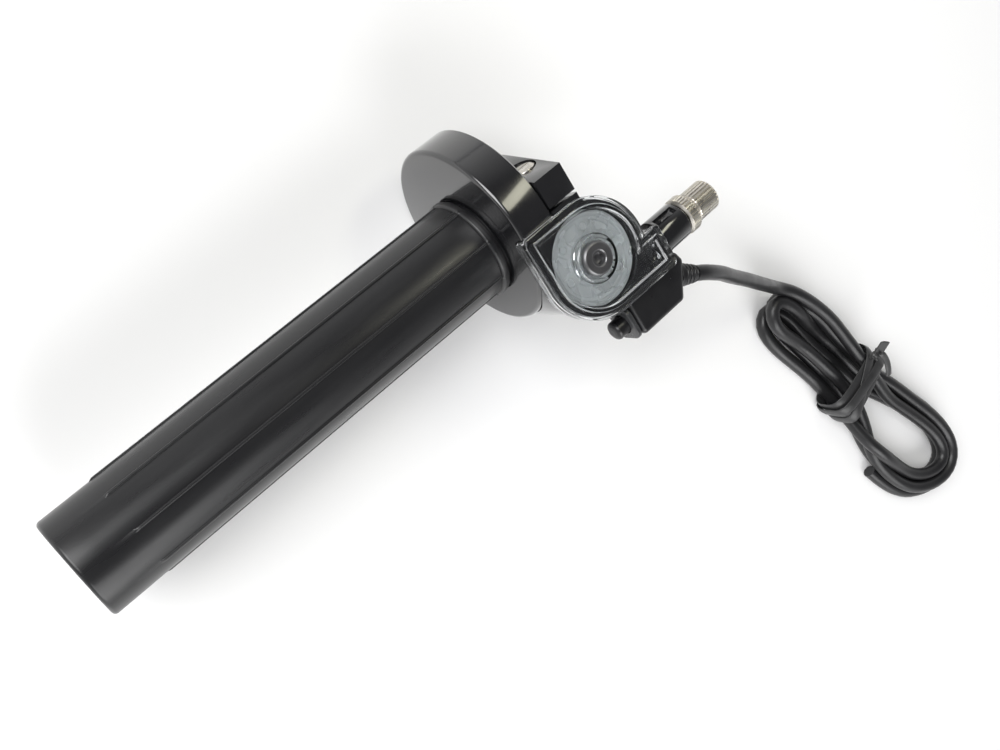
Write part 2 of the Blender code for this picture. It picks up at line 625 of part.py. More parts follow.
def main():
    global BAR
    clear_scene()
    BAR = bpy.data.objects.new("bar_axis", None)
    bpy.context.collection.objects.link(BAR)
    centre_y = 0.5 * (SHELL_Y + SHELL_R + SWITCH_OUTER_Y)
    BAR.location = (-0.5 * HEAD_X1 * MM, -centre_y * MM, -FLOOR_Z * MM)

    satin_black = material("satin_black_nylon", (0.012, 0.012, 0.014), 0.38)
    gloss_black = material("gloss_black_plastic", (0.01, 0.01, 0.012), 0.18)
    clear = material("clear_polycarbonate", (0.86, 0.9, 0.92), 0.08, alpha=0.4)
    milky = material("milky_acetal", (0.62, 0.66, 0.68), 0.35)
    nickel = material("nickel_plate", (0.72, 0.70, 0.66), 0.28, 1.0)
    oxide = material("black_oxide_steel", (0.12, 0.12, 0.13), 0.35, 0.8)
    steel = material("bright_steel", (0.6, 0.6, 0.6), 0.3, 1.0)
    brass = material("brass", (0.78, 0.6, 0.3), 0.3, 1.0)
    grey = material("smoke_grey_plastic", (0.04, 0.042, 0.045), 0.25)
    cord = material("black_pvc", (0.018, 0.018, 0.02), 0.45)

    make_throttle_tube(satin_black)
    make_drum_shell(gloss_black)
    make_roller_housing(gloss_black)
    make_clear_cover(clear)
    make_shell_screws(steel)
    make_roller(milky)
    make_roller_bush(steel)
    make_roller_screw(oxide)
    make_clamp_bolt(nickel)
    make_adjuster(nickel, grey)
    make_switch_body(satin_black)
    make_switch_cap(grey)
    make_kill_button(satin_black, brass)
    make_button_spring(steel)
    make_contact_posts(brass)
    make_switch_screw(steel)
    make_strain_relief(cord)
    make_lead(cord)
    make_hank(cord)
    make_twist_tie(cord)


main()
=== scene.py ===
import math

import bmesh
import bpy
import numpy as np
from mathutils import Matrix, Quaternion, Vector


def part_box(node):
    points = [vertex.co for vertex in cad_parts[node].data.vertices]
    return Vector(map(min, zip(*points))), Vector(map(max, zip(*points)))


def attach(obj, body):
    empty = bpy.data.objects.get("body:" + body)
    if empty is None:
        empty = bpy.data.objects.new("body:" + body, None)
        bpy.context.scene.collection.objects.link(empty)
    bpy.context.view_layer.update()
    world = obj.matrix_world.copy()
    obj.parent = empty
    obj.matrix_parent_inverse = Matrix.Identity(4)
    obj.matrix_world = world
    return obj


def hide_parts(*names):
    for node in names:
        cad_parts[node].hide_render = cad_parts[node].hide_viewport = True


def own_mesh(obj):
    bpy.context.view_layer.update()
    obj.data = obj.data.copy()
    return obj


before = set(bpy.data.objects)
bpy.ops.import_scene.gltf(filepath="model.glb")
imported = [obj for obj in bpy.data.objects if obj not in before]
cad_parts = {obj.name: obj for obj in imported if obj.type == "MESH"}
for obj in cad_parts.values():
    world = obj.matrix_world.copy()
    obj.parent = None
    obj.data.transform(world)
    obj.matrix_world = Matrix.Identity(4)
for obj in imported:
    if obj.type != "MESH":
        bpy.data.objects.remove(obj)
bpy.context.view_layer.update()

MM = 0.001


# --- the bar frame: millimetres, X along the handlebar from the tube's open end ---

def box_mm(node):
    """A node's low and high corners as arrays, in world millimetres."""
    low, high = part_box(node)
    return np.array(low) / MM, np.array(high) / MM


SHELL_Y = 2.3
shell_low, shell_high = box_mm("drum_shell")
SHELL_R = 0.5 * (shell_high[2] - shell_low[2])
shell_middle = 0.5 * (shell_low + shell_high)
BAR = np.array([box_mm("throttle_tube")[0][0], shell_middle[1] - SHELL_Y, shell_middle[2]])


def span(node):
    """A node's low and high corners in the bar frame."""
    low, high = box_mm(node)
    return low - BAR, high - BAR


def centre_of(node):
    """The middle of a node's box in the bar frame."""
    low, high = span(node)
    return 0.5 * (low + high)


FLOOR_Z = -BAR[2]
SHELL_X0, SHELL_X1 = (corner[0] for corner in span("drum_shell"))
ROLLER = centre_of("roller")
ROLLER_Z0, ROLLER_Z1 = (corner[2] for corner in span("roller"))
ADJUSTER = centre_of("adjuster_screw")
CABLE_X = ROLLER[0] + ADJUSTER[1] - ROLLER[1]
X, Y, Z = (1, 0, 0), (0, 1, 0), (0, 0, 1)
ROLLER_AXIS = (ROLLER[0], ROLLER[1], 0)
COVER_LOW, COVER_HIGH = span("clear_cover")
BUTTON = centre_of("kill_button")
BORE_R = 11.2
TUBE_R = 13.0
SHELL_IN_R = 23.6
SHELL_BORE_R = 13.5
CHAMBER_R = 12.4
CORD_D = 4.3


# --- camera, floor and light ---

CAMERA_AT = (5.0, 72.2, 253.9)
CAMERA_AIM = (106.0, -30.0, 3.0)
CAMERA_ROLL = 97.97
CAMERA_LENS = 40.9
WINDOW_DEG = 72.0
WINDOW_DISTANCE = 300.0
FLOOR_HALF_M = 3.0


def world_point(p):
    """A bar-frame point in world metres."""
    return Vector([float(v) for v in (np.asarray(p, float) + BAR) * MM])


def make_camera():
    data = bpy.data.cameras.new("camera")
    data.lens = CAMERA_LENS
    data.sensor_width = 36.0
    data.clip_start = 0.01
    camera = bpy.data.objects.new("camera", data)
    camera.location = world_point(CAMERA_AT)
    look = world_point(CAMERA_AIM) - camera.location
    roll = Quaternion((0, 0, 1), math.radians(CAMERA_ROLL))
    camera.rotation_mode = "QUATERNION"
    camera.rotation_quaternion = look.to_track_quat("-Z", "Y") @ roll
    bpy.context.collection.objects.link(camera)
    bpy.context.scene.camera = camera


def make_softbox(name, at, aim, size, power, colour=(1, 1, 1)):
    """A rectangular lamp from one bar-frame point to another; its size is in metres."""
    data = bpy.data.lights.new(name, "AREA")
    data.shape = "RECTANGLE"
    data.size, data.size_y = size
    data.energy = power
    data.color = colour
    light = bpy.data.objects.new(name, data)
    light.location = world_point(at)
    light.rotation_mode = "QUATERNION"
    light.rotation_quaternion = (world_point(aim) - light.location).to_track_quat("-Z", "Y")
    bpy.context.collection.objects.link(light)


def mirrored_spot(point, normal, distance):
    """Where a light stands for the camera to see it mirrored at a glossy point."""
    point, normal = np.asarray(point, float), np.asarray(normal, float)
    normal = normal / np.linalg.norm(normal)
    to_camera = np.asarray(CAMERA_AT) - point
    to_camera /= np.linalg.norm(to_camera)
    return point + distance * (2 * normal.dot(to_camera) * normal - to_camera)


def ring_normal(degrees):
    """Unit vector square to the bar, at an angle from +Y towards +Z."""
    a = math.radians(degrees)
    return np.array([0.0, math.cos(a), math.sin(a)])


def make_studio():
    """White room that darkens overhead, two large lamps, a tinted window and a pale floor."""
    world = bpy.data.worlds.new("studio")
    world.use_nodes = True
    bpy.context.scene.world = world
    bpy.context.scene.view_settings.view_transform = "Standard"
    nodes, links = world.node_tree.nodes, world.node_tree.links
    back = nodes["Background"]
    coords = nodes.new("ShaderNodeTexCoord")
    split = nodes.new("ShaderNodeSeparateXYZ")
    ramp = nodes.new("ShaderNodeValToRGB")
    ramp.color_ramp.elements[0].color = (1.0, 1.0, 1.0, 1)
    ramp.color_ramp.elements[1].position = 0.7
    ramp.color_ramp.elements[1].color = (0.12, 0.12, 0.125, 1)
    links.new(coords.outputs["Generated"], split.inputs[0])
    links.new(split.outputs["Z"], ramp.inputs[0])
    links.new(ramp.outputs[0], back.inputs[0])
    make_softbox("key", (-500, 700, 900), (90, 0, 0), (0.9, 0.9), 17.0)
    make_softbox("fill", (-300, -900, 700), (90, 0, 0), (0.9, 0.9), 10.0)
    rim = SHELL_R * ring_normal(WINDOW_DEG) + (0.5 * (SHELL_X0 + SHELL_X1), SHELL_Y, 0)
    window_at = mirrored_spot(rim, ring_normal(WINDOW_DEG), WINDOW_DISTANCE)
    make_softbox("window", window_at, rim, (0.05, 0.12), 0.12, (1.0, 0.98, 0.80))
    floor_mesh = bpy.data.meshes.new("floor")
    half = FLOOR_HALF_M
    floor_mesh.from_pydata([(-half, -half, 0), (half, -half, 0), (half, half, 0), (-half, half, 0)],
                           [], [(0, 1, 2, 3)])
    floor = bpy.data.objects.new("floor", floor_mesh)
    floor.location = (0, 0, -0.0002)
    bpy.context.collection.objects.link(floor)
    paper = bpy.data.materials.new("pale_paper")
    paper.use_nodes = True
    shader = paper.node_tree.nodes["Principled BSDF"]
    shader.inputs["Base Color"].default_value = (0.92, 0.92, 0.92, 1)
    shader.inputs["Roughness"].default_value = 0.9
    floor_mesh.materials.append(paper)


# --- finishes ---

def finish_nodes(name):
    """A new material with its nodes, links and main shader."""
    mat = bpy.data.materials.new(name)
    mat.use_nodes = True
    return mat, mat.node_tree.nodes, mat.node_tree.links, mat.node_tree.nodes["Principled BSDF"]


def noise(nodes, links, coords, scale, detail=3.0, stretch=(1, 1, 1)):
    """Noise on object coordinates, stretched along the axes."""
    mapping = nodes.new("ShaderNodeMapping")
    mapping.inputs["Scale"].default_value = stretch
    texture = nodes.new("ShaderNodeTexNoise")
    texture.inputs["Scale"].default_value = scale
    texture.inputs["Detail"].default_value = detail
    links.new(coords.outputs["Object"], mapping.inputs[0])
    links.new(mapping.outputs[0], texture.inputs["Vector"])
    return texture.outputs["Fac"]


def scaled(nodes, links, value, low, high):
    """Map a 0.3 to 0.7 noise value onto low to high."""
    ranged = nodes.new("ShaderNodeMapRange")
    ranged.inputs["From Min"].default_value = 0.3
    ranged.inputs["From Max"].default_value = 0.7
    ranged.inputs["To Min"].default_value = low
    ranged.inputs["To Max"].default_value = high
    links.new(value, ranged.inputs["Value"])
    return ranged.outputs[0]


def moulded(name, dark, light, rough, grain=0.0, stretch=(1, 1, 1), scale=90.0, metallic=0.0):
    """A moulded or plated surface: cloudy colour, uneven gloss and a fine grain."""
    mat, nodes, links, shader = finish_nodes(name)
    coords = nodes.new("ShaderNodeTexCoord")
    cloud = noise(nodes, links, coords, scale, 4.0, stretch)
    mix = nodes.new("ShaderNodeMix")
    mix.data_type = "RGBA"
    mix.inputs["A"].default_value = (*dark, 1)
    mix.inputs["B"].default_value = (*light, 1)
    links.new(scaled(nodes, links, cloud, 0.0, 1.0), mix.inputs["Factor"])
    links.new(mix.outputs["Result"], shader.inputs["Base Color"])
    wear = noise(nodes, links, coords, scale * 3.1, 5.0, stretch)
    links.new(scaled(nodes, links, wear, *rough), shader.inputs["Roughness"])
    shader.inputs["Metallic"].default_value = metallic
    if grain:
        fine = noise(nodes, links, coords, 2600.0, 2.0)
        bump = nodes.new("ShaderNodeBump")
        bump.inputs["Strength"].default_value = grain
        bump.inputs["Distance"].default_value = 0.0001
        links.new(fine, bump.inputs["Height"])
        links.new(bump.outputs[0], shader.inputs["Normal"])
    return mat


def see_through(name, tint, rough, weight, ior, rough_spread=0.05):
    """Clear or milky plastic."""
    mat, nodes, links, shader = finish_nodes(name)
    coords = nodes.new("ShaderNodeTexCoord")
    shader.inputs["Base Color"].default_value = (*tint, 1)
    shader.inputs["Transmission Weight"].default_value = weight
    shader.inputs["IOR"].default_value = ior
    wear = noise(nodes, links, coords, 160.0, 4.0)
    links.new(scaled(nodes, links, wear, rough, rough + rough_spread), shader.inputs["Roughness"])
    return mat


SATIN_BLACK = moulded("satin_black_moulding", (0.008, 0.008, 0.009), (0.013, 0.013, 0.014),
                      (0.26, 0.36), 0.06, (0.12, 1, 1), 120.0)
GLOSS_BLACK = moulded("gloss_black_moulding", (0.005, 0.005, 0.006), (0.009, 0.009, 0.010),
                      (0.12, 0.20), 0.02)
gloss_inputs = GLOSS_BLACK.node_tree.nodes["Principled BSDF"].inputs
gloss_inputs["Coat Weight"].default_value = 1.0
gloss_inputs["Coat Roughness"].default_value = 0.08
SWITCH_BLACK = moulded("switch_case_moulding", (0.006, 0.006, 0.007), (0.011, 0.011, 0.012),
                       (0.26, 0.38), 0.12)
NICKEL = moulded("dull_nickel", (0.56, 0.53, 0.48), (0.72, 0.69, 0.63), (0.22, 0.38), 0.08,
                 metallic=1.0)
STEEL = moulded("bright_steel", (0.5, 0.5, 0.5), (0.66, 0.66, 0.66), (0.22, 0.36), 0.05,
                metallic=1.0)
OXIDE = moulded("oxide_steel", (0.16, 0.16, 0.165), (0.26, 0.26, 0.265), (0.26, 0.40), 0.08,
                metallic=0.9)
BRASS = moulded("contact_brass", (0.62, 0.45, 0.2), (0.8, 0.62, 0.32), (0.2, 0.4), 0.05,
                metallic=1.0)
SMOKE = moulded("smoke_grey_plastic", (0.03, 0.031, 0.033), (0.05, 0.051, 0.053),
                (0.18, 0.28), 0.02)
PVC = moulded("lead_pvc", (0.009, 0.009, 0.010), (0.016, 0.016, 0.017), (0.30, 0.44), 0.12,
              scale=60.0)
TIE_PLASTIC = moulded("tie_plastic", (0.02, 0.02, 0.021), (0.04, 0.04, 0.041), (0.3, 0.5), 0.1)
CLEAR = see_through("clear_cover_plastic", (0.95, 0.97, 0.98), 0.03, 1.0, 1.49)
MILKY = see_through("milky_roller_plastic", (0.78, 0.81, 0.82), 0.2, 0.3, 1.45, 0.12)


# --- mesh helpers ---

def surface(name, grid, material, wrap_rows=False, sharp=40.0):
    """A mesh from an (n, m, 3) grid in bar-frame millimetres, with quads between neighbours.

    Each row is a closed ring. Rows wrap to close a ring of rings; a grid whose end rows shrink
    to a point closes itself.
    """
    grid = np.asarray(grid, float)
    n, m = grid.shape[:2]
    rows = np.arange(n if wrap_rows else n - 1)
    cols = np.arange(m)
    r, c = np.meshgrid(rows, cols, indexing="ij")
    r2, c2 = (r + 1) % n, (c + 1) % m
    faces = np.stack([r * m + c, r * m + c2, r2 * m + c2, r2 * m + c], axis=-1).reshape(-1, 4)
    points = (grid.reshape(-1, 3) + BAR) * MM
    mesh = bpy.data.meshes.new(name)
    mesh.vertices.add(len(points))
    mesh.vertices.foreach_set("co", points.ravel())
    mesh.loops.add(faces.size)
    mesh.loops.foreach_set("vertex_index", faces.ravel().astype(np.int32))
    mesh.polygons.add(len(faces))
    mesh.polygons.foreach_set("loop_start", (np.arange(len(faces)) * 4).astype(np.int32))
    mesh.polygons.foreach_set("loop_total", np.full(len(faces), 4, np.int32))
    mesh.update(calc_edges=True)
    return finish_mesh(name, mesh, material, sharp)


def finish_mesh(name, mesh, material, sharp=40.0):
    """Merge the closed poles, turn faces outwards, smooth all but sharp edges."""
    bm = bmesh.new()
    bm.from_mesh(mesh)
    bmesh.ops.remove_doubles(bm, verts=bm.verts, dist=2e-6)
    bmesh.ops.recalc_face_normals(bm, faces=bm.faces)
    bm.to_mesh(mesh)
    bm.free()
    mesh.shade_smooth()
    mesh.set_sharp_from_angle(angle=math.radians(sharp))
    mesh.materials.append(material)
    obj = bpy.data.objects.new(name, mesh)
    bpy.context.collection.objects.link(obj)
    return obj


def dress(obj, body, slot, *nodes):
    """Attach a piece to its body and hide the CAD nodes it stands for; its slot is not used."""
    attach(obj, body)
    if nodes:
        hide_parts(*nodes)
    return obj


def basis(axis):
    """Two unit vectors square to the axis, and the axis itself."""
    axis = np.asarray(axis, float) / np.linalg.norm(axis)
    helper = np.array([0, 0, 1.0]) if abs(axis[2]) < 0.9 else np.array([1.0, 0, 0])
    side = np.cross(helper, axis)
    side /= np.linalg.norm(side)
    return side, np.cross(axis, side), axis


def turned_grid(profile, axis, base, count=160, radius_of=None):
    """Turn (height, radius) pairs about an axis; radius_of(radius, angle) may shape it."""
    side, up, along = basis(axis)
    profile = np.asarray(profile, float)
    angle = np.linspace(0, 2 * np.pi, count, endpoint=False)
    radius = np.repeat(profile[:, 1:2], count, axis=1)
    if radius_of is not None:
        radius = radius_of(radius, angle)
    ring = np.cos(angle)[:, None] * side + np.sin(angle)[:, None] * up
    return np.asarray(base) + profile[:, 0][:, None, None] * along + radius[:, :, None] * ring


def rounded(profile, radius, steps=4):
    """Round the inner corners of a (height, radius) profile with short curves."""
    pts = np.asarray(profile, float)
    out = [pts[0]]
    for a, b, c in zip(pts, pts[1:], pts[2:]):
        cut_a = min(radius, 0.45 * np.linalg.norm(a - b))
        cut_c = min(radius, 0.45 * np.linalg.norm(c - b))
        p = b + (a - b) / max(np.linalg.norm(a - b), 1e-9) * cut_a
        q = b + (c - b) / max(np.linalg.norm(c - b), 1e-9) * cut_c
        t = np.linspace(0, 1, steps + 1)[:, None]
        out += list((1 - t) ** 2 * p + 2 * t * (1 - t) * b + t ** 2 * q)
    out.append(pts[-1])
    return np.array(out)


def turned(name, profile, axis, base, material, count=160, bend=0.15, radius_of=None):
    """A solid of revolution whose profile starts and ends on the axis."""
    grid = turned_grid(rounded(profile, bend), axis, base, count, radius_of)
    return surface(name, grid, material)


def smooth_curve(points, samples, closed=False):
    """Catmull-Rom curve through the points, as an array, with even samples in each span."""
    pts = np.asarray(points, float)
    if closed:
        pts = np.vstack([pts[-1:], pts, pts[:2]])
    else:
        pts = np.vstack([2 * pts[0] - pts[1], pts, 2 * pts[-1] - pts[-2]])
    a, b, c, d = pts[:-3, None], pts[1:-2, None], pts[2:-1, None], pts[3:, None]
    t = np.linspace(0, 1, samples, endpoint=False)[None, :, None]
    curve = 0.5 * (2 * b + (c - a) * t + (2 * a - 5 * b + 4 * c - d) * t ** 2
                   + (3 * b - a - 3 * c + d) * t ** 3)
    curve = curve.reshape(-1, pts.shape[1])
    return curve if closed else np.vstack([curve, pts[-2:-1]])


def smoothstep(x):
    """3x^2 - 2x^3 on 0 to 1, flat beyond."""
    x = np.clip(x, 0, 1)
    return x * x * (3 - 2 * x)


# --- the lead and its hank ---

RELIEF_ROOT = np.array([156.9, -35.9, 17.0])
RELIEF_DIR = np.array([0.86, -0.51, 0.0]) / np.hypot(0.86, 0.51)
RELIEF_LENGTH = 6.2
LEAD_ROUTE = [(172.2, -46.0, 13.4), (177.6, -50.8, 8.4), (183.4, -55.8, 4.0),
              (189.6, -61.1, -0.9), (195.8, -66.8, -5.8), (201.4, -72.0, -10.4),
              (206.9, -77.5, -15.0)]
HANK_OUTLINE = [(208.0, -77.2), (215.5, -88.5), (221.5, -102.0), (226.8, -116.5), (229.3, -126.0),
                (238.5, -140.0), (248.0, -157.0), (251.3, -171.0), (248.5, -181.5),
                (240.0, -186.3), (229.0, -184.5), (218.0, -176.5), (210.8, -162.0),
                (208.5, -148.0), (210.5, -134.0), (209.8, -125.0), (205.6, -111.0),
                (200.5, -97.0), (197.9, -85.5), (201.2, -78.8)]
TIE_CENTRE = np.array([219.5, -124.5])
TIE_TURN = math.radians(-68.0)
TIE_AXIS = np.array([math.cos(TIE_TURN), math.sin(TIE_TURN)])
TIE_SIDE = np.array([-TIE_AXIS[1], TIE_AXIS[0]])
# Where each strand lies, as (inset from the outline, layer): at the waist on the side that leads
# into the large loop, round the large loop, and at the waist on the side that leaves it. The
# hump is how many layers it rises on its way out.
INTO_LOOP = ((6.4, 1.0), (6.4, 0.0), (2.2, 1.0), (2.2, 0.0))
ROUND_LOOP = ((8.8, 1.0), (6.6, 0.0), (4.4, 1.0), (2.2, 0.0))
OUT_OF_LOOP = ((2.2, 0.0), (6.4, 0.0), (6.4, 1.0), (2.2, 0.0))
LOOP_HUMP = (1.0, 0.0, 0.0, 0.0)
# Each fold's tip: how far it stops short, how far it leans sideways, and its layer.
FOLD_TIPS = ((5.0, -1.0, 0.0), (3.0, 1.0, 1.0), (0.0, 0.0, 1.9))
TIP_INSET = 2.6
# The lead lands along the outer side of the small loop, over the folds, and dips under the tie.
LANDING = [(213.0, -84.5, -14.6), (219.5, -97.5, -15.0), (223.0, -110.0, -17.0)]
CURVE_SAMPLES = 24
# The large loop runs from the outline's fifth point over eleven of its spans.
LOOP_START, LOOP_SPANS = 4, 11
STRAND_POINTS = 48
LAYER_STEP = 0.93 * CORD_D
HANK_FIRST, BARE_END = 4, 10
POINT_STEP = 2.6
FIXED_POINTS = 3
EASE_ROUNDS, SETTLE_ROUNDS = 3, 50


def along_curve(curve, t):
    """Points at shares t of a curve's length, with unit normals pointing into the outline."""
    length = np.concatenate([[0], np.cumsum(np.linalg.norm(np.diff(curve, axis=0), axis=1))])
    xy = np.stack([np.interp(t * length[-1], length, curve[:, i]) for i in (0, 1)], axis=1)
    tangent = np.gradient(xy, axis=0)
    tangent /= np.linalg.norm(tangent, axis=1)[:, None]
    return xy, ring_turn() * np.stack([-tangent[:, 1], tangent[:, 0]], axis=1)


def hank_path():
    """Centreline of the hank: four passes of the large loop, joined by three folds.

    A pass is the outline moved inwards by an inset that blends from the waist's to the loop's
    and back; a fold keeps its legs' insets and swings out to the outline only at its tip.
    """
    outline = smooth_curve(HANK_OUTLINE, CURVE_SAMPLES, closed=True)
    ring = np.roll(outline, -LOOP_START * CURVE_SAMPLES, axis=0)
    split = LOOP_SPANS * CURVE_SAMPLES
    large, fold = ring[:split + 1], np.vstack([ring[split:], ring[:1]])
    axis, side = TIE_AXIS, TIE_SIDE
    t = np.linspace(0, 1, STRAND_POINTS)
    enter, leave = smoothstep(t / 0.25), smoothstep((t - 0.68) / 0.32)
    tip = smoothstep((np.minimum(t, 1 - t) - 0.2) / 0.2)
    across = smoothstep((t - 0.3) / 0.4)
    pieces = []
    for k, (start, loop, end) in enumerate(zip(INTO_LOOP, ROUND_LOOP, OUT_OF_LOOP)):
        xy, inward = along_curve(large, t)
        inset, layer = [(first + (middle - first) * enter) * (1 - leave) + last * leave
                        for first, middle, last in zip(start, loop, end)]
        layer = layer + LOOP_HUMP[k] * 4 * leave * (1 - leave)
        z = FLOOR_Z + 0.5 * CORD_D + LAYER_STEP * layer
        pieces.append(np.column_stack([xy + inward * inset[:, None], z])[:-1])
        if k == len(FOLD_TIPS):
            break
        short, lean, tip_layer = FOLD_TIPS[k]
        xy, inward = along_curve(fold, t)
        inset, layer = [last + (first - last) * across
                        for last, first in zip(end, INTO_LOOP[k + 1])]
        inset = inset + (TIP_INSET - inset) * tip
        layer = layer + (tip_layer - layer) * tip
        shift = smoothstep(np.minimum(t, 1 - t) / 0.45)[:, None] * (short * axis + lean * side)
        z = FLOOR_Z + 0.5 * CORD_D + LAYER_STEP * layer
        pieces.append(np.column_stack([xy + inward * inset[:, None] + shift, z])[:-1])
    return np.vstack(pieces)


def ring_turn():
    """+1 if the outline runs counter-clockwise."""
    p = np.asarray(HANK_OUTLINE)
    q = np.roll(p, -1, axis=0)
    return np.sign(np.sum(p[:, 0] * q[:, 1] - q[:, 0] * p[:, 1]))


def evenly(path, step):
    """The same path with its points an even distance apart."""
    along = np.concatenate([[0], np.cumsum(np.linalg.norm(np.diff(path, axis=0), axis=1))])
    places = np.linspace(0, along[-1], int(round(along[-1] / step)) + 1)
    return np.stack([np.interp(places, along, path[:, i]) for i in range(3)], axis=1)


def settle(path, fixed, rounds):
    """Push strands that overlap a cord's width apart; the shift spreads along, so bends keep."""
    order = np.arange(len(path))
    apart = np.abs(order[:, None] - order[None]) * POINT_STEP > 3.5 * CORD_D
    shift = np.zeros_like(path)
    for _ in range(rounds):
        now = path + shift
        gap = now[:, None] - now[None]
        distance = np.maximum(np.linalg.norm(gap, axis=2), 0.1)
        push = np.where(apart, np.clip(CORD_D - distance, 0, None) / distance, 0)
        shift[fixed:] += 0.3 * np.sum(gap * push[..., None], axis=1)[fixed:]
        shift[1:-1] = 0.25 * shift[:-2] + 0.5 * shift[1:-1] + 0.25 * shift[2:]
        shift[:, 2] = np.maximum(shift[:, 2], FLOOR_Z + 0.5 * CORD_D - path[:, 2])
        shift[:fixed] = 0
    return path + shift


def eased(path, fixed, rounds):
    """Average neighbours along a path, past its first fixed points."""
    path = path.copy()
    for _ in range(rounds):
        middle = 0.25 * path[:-2] + 0.5 * path[1:-1] + 0.25 * path[2:]
        path[fixed:-1] = middle[fixed - 1:]
    return path


def cord_path():
    """Centreline of the whole lead, from the boot to the bare end."""
    straight = [RELIEF_ROOT + RELIEF_DIR * (RELIEF_LENGTH + run) for run in (0.6, 3.2)]
    hank = hank_path()[HANK_FIRST:-BARE_END]
    lead = smooth_curve(np.vstack([straight, LEAD_ROUTE, LANDING, hank[:1]]), 4)[:-1]
    route = eased(evenly(np.vstack([lead, hank]), POINT_STEP), FIXED_POINTS, EASE_ROUNDS)
    return settle(route, FIXED_POINTS, SETTLE_ROUNDS)


def make_cord(path, pieces):
    """The lead as a round curve on the housing; the pieces that go with it are not used."""
    curve = bpy.data.curves.new("kill_lead", "CURVE")
    curve.dimensions = "3D"
    curve.bevel_depth = 0.5 * CORD_D * MM
    curve.bevel_resolution = 6
    curve.use_fill_caps = True
    spline = curve.splines.new("POLY")
    spline.points.add(len(path) - 1)
    points = np.column_stack([(path + BAR) * MM, np.ones(len(path))])
    spline.points.foreach_set("co", points.ravel())
    spline.points.foreach_set("radius", np.ones(len(path)))
    cord = bpy.data.objects.new("kill_lead", curve)
    curve.materials.append(PVC)
    bpy.context.collection.objects.link(cord)
    dress(cord, "housing", "black_pvc", "cord_lead", "cord_hank")


# --- throttle tube ---

RIB_COUNT = 8
RIB_PITCH = 360.0 / RIB_COUNT
RIB_FIRST = -9.0
RIB_HALF, RIB_MARGIN = 2.0, 2.4
RIB_HEIGHT = 0.45
RIB_START = 14.0
COLLAR_START = 117.6
COLLAR_R = 13.9
END_EDGE = 1.1
SECTOR = (60.0, 175.0)
WIND_CORE_R, WIND_FLANGE_R, WIND_FLOOR_R = 15.6, 19.0, 17.4


def rib_angles():
    """Angles in degrees, crowded at the ribs: 17 across each rib and 14 between two."""
    near = np.linspace(-RIB_MARGIN, RIB_MARGIN, 17)
    far = np.linspace(RIB_MARGIN, RIB_PITCH - RIB_MARGIN, 16)[1:-1]
    one = np.concatenate([near, far])
    return (RIB_FIRST + np.arange(RIB_COUNT)[:, None] * RIB_PITCH + one).ravel()


def make_throttle_tube():
    """Radius over angle and length: a plain barrel, plus ribs with round crests, plus the drum.

    A rib's crest is the square root of 1 minus the squared share of its half width.
    """
    degrees = rib_angles()
    off = (degrees - RIB_FIRST + RIB_PITCH / 2) % RIB_PITCH - RIB_PITCH / 2
    crest = np.sqrt(np.clip(1 - (off / RIB_HALF) ** 2, 0, 1))
    turn = degrees % 360
    sector = ((turn >= SECTOR[0]) & (turn <= SECTOR[1])).astype(float)
    rows = []

    def row(x, radius, rib=0.0, drum=None):
        ring = radius + RIB_HEIGHT * rib * crest
        if drum is not None:
            ring = np.where(sector > 0, drum, ring)
        rows.append((np.full_like(degrees, x), ring))

    row(0.5, BORE_R)
    row(0.12, BORE_R + 0.12)
    row(0.0, BORE_R + 0.4)
    row(0.0, TUBE_R - END_EDGE)
    for a in np.linspace(0, np.pi / 2, 8)[1:]:
        row(END_EDGE - END_EDGE * math.cos(a), TUBE_R - END_EDGE + END_EDGE * math.sin(a))
    row(7.0, TUBE_R)
    for t in np.linspace(0, 1, 9):
        row(RIB_START + 1.2 * t, TUBE_R, math.sin(0.5 * math.pi * t))
    for x in np.linspace(20, COLLAR_START - 0.4, 14):
        row(x, TUBE_R, 1.0)
    for t in np.linspace(0, 1, 6):
        a = 0.5 * math.pi * t
        row(COLLAR_START + 0.7 - 0.7 * math.cos(a),
            TUBE_R + (COLLAR_R - TUBE_R) * math.sin(a), 1.0 - t)
    row(SHELL_X0 - 1.1, COLLAR_R)
    row(SHELL_X0 - 0.8, COLLAR_R - 0.1)
    row(SHELL_X0 - 0.65, COLLAR_R - 0.4)
    row(SHELL_X0 - 0.5, TUBE_R)
    row(SHELL_X0 + 1.8, TUBE_R)
    row(SHELL_X0 + 2.0, WIND_CORE_R)
    for x, r in ((-1.8, WIND_CORE_R), (-1.6, WIND_FLANGE_R), (-0.9, WIND_FLANGE_R),
                 (-0.7, WIND_FLOOR_R), (0.7, WIND_FLOOR_R), (0.9, WIND_FLANGE_R),
                 (1.6, WIND_FLANGE_R), (1.8, WIND_CORE_R)):
        row(CABLE_X + x, WIND_CORE_R, 0.0, r)
    end = span("throttle_tube")[1][0]
    row(end, WIND_CORE_R)
    row(end, BORE_R)
    x = np.array([r[0] for r in rows])
    radius = np.array([r[1] for r in rows])
    a = np.radians(degrees)
    grid = np.stack([x, radius * np.cos(a), radius * np.sin(a)], axis=-1)
    tube = surface("throttle_tube_fine", grid, SATIN_BLACK, wrap_rows=True, sharp=38)
    dress(tube, "twist", "satin_black", "throttle_tube")


# --- drum shell ---

def carve(target, other, operation="DIFFERENCE"):
    """Cut another solid out of a target, or weld it on with UNION, and remove the other."""
    step = target.modifiers.new("carve", "BOOLEAN")
    step.operation = operation
    step.solver = "EXACT"
    step.object = other
    depsgraph = bpy.context.evaluated_depsgraph_get()
    result = bpy.data.meshes.new_from_object(target.evaluated_get(depsgraph))
    target.modifiers.clear()
    target.data = result
    bpy.data.objects.remove(other, do_unlink=True)
    target.data.set_sharp_from_angle(angle=math.radians(38))


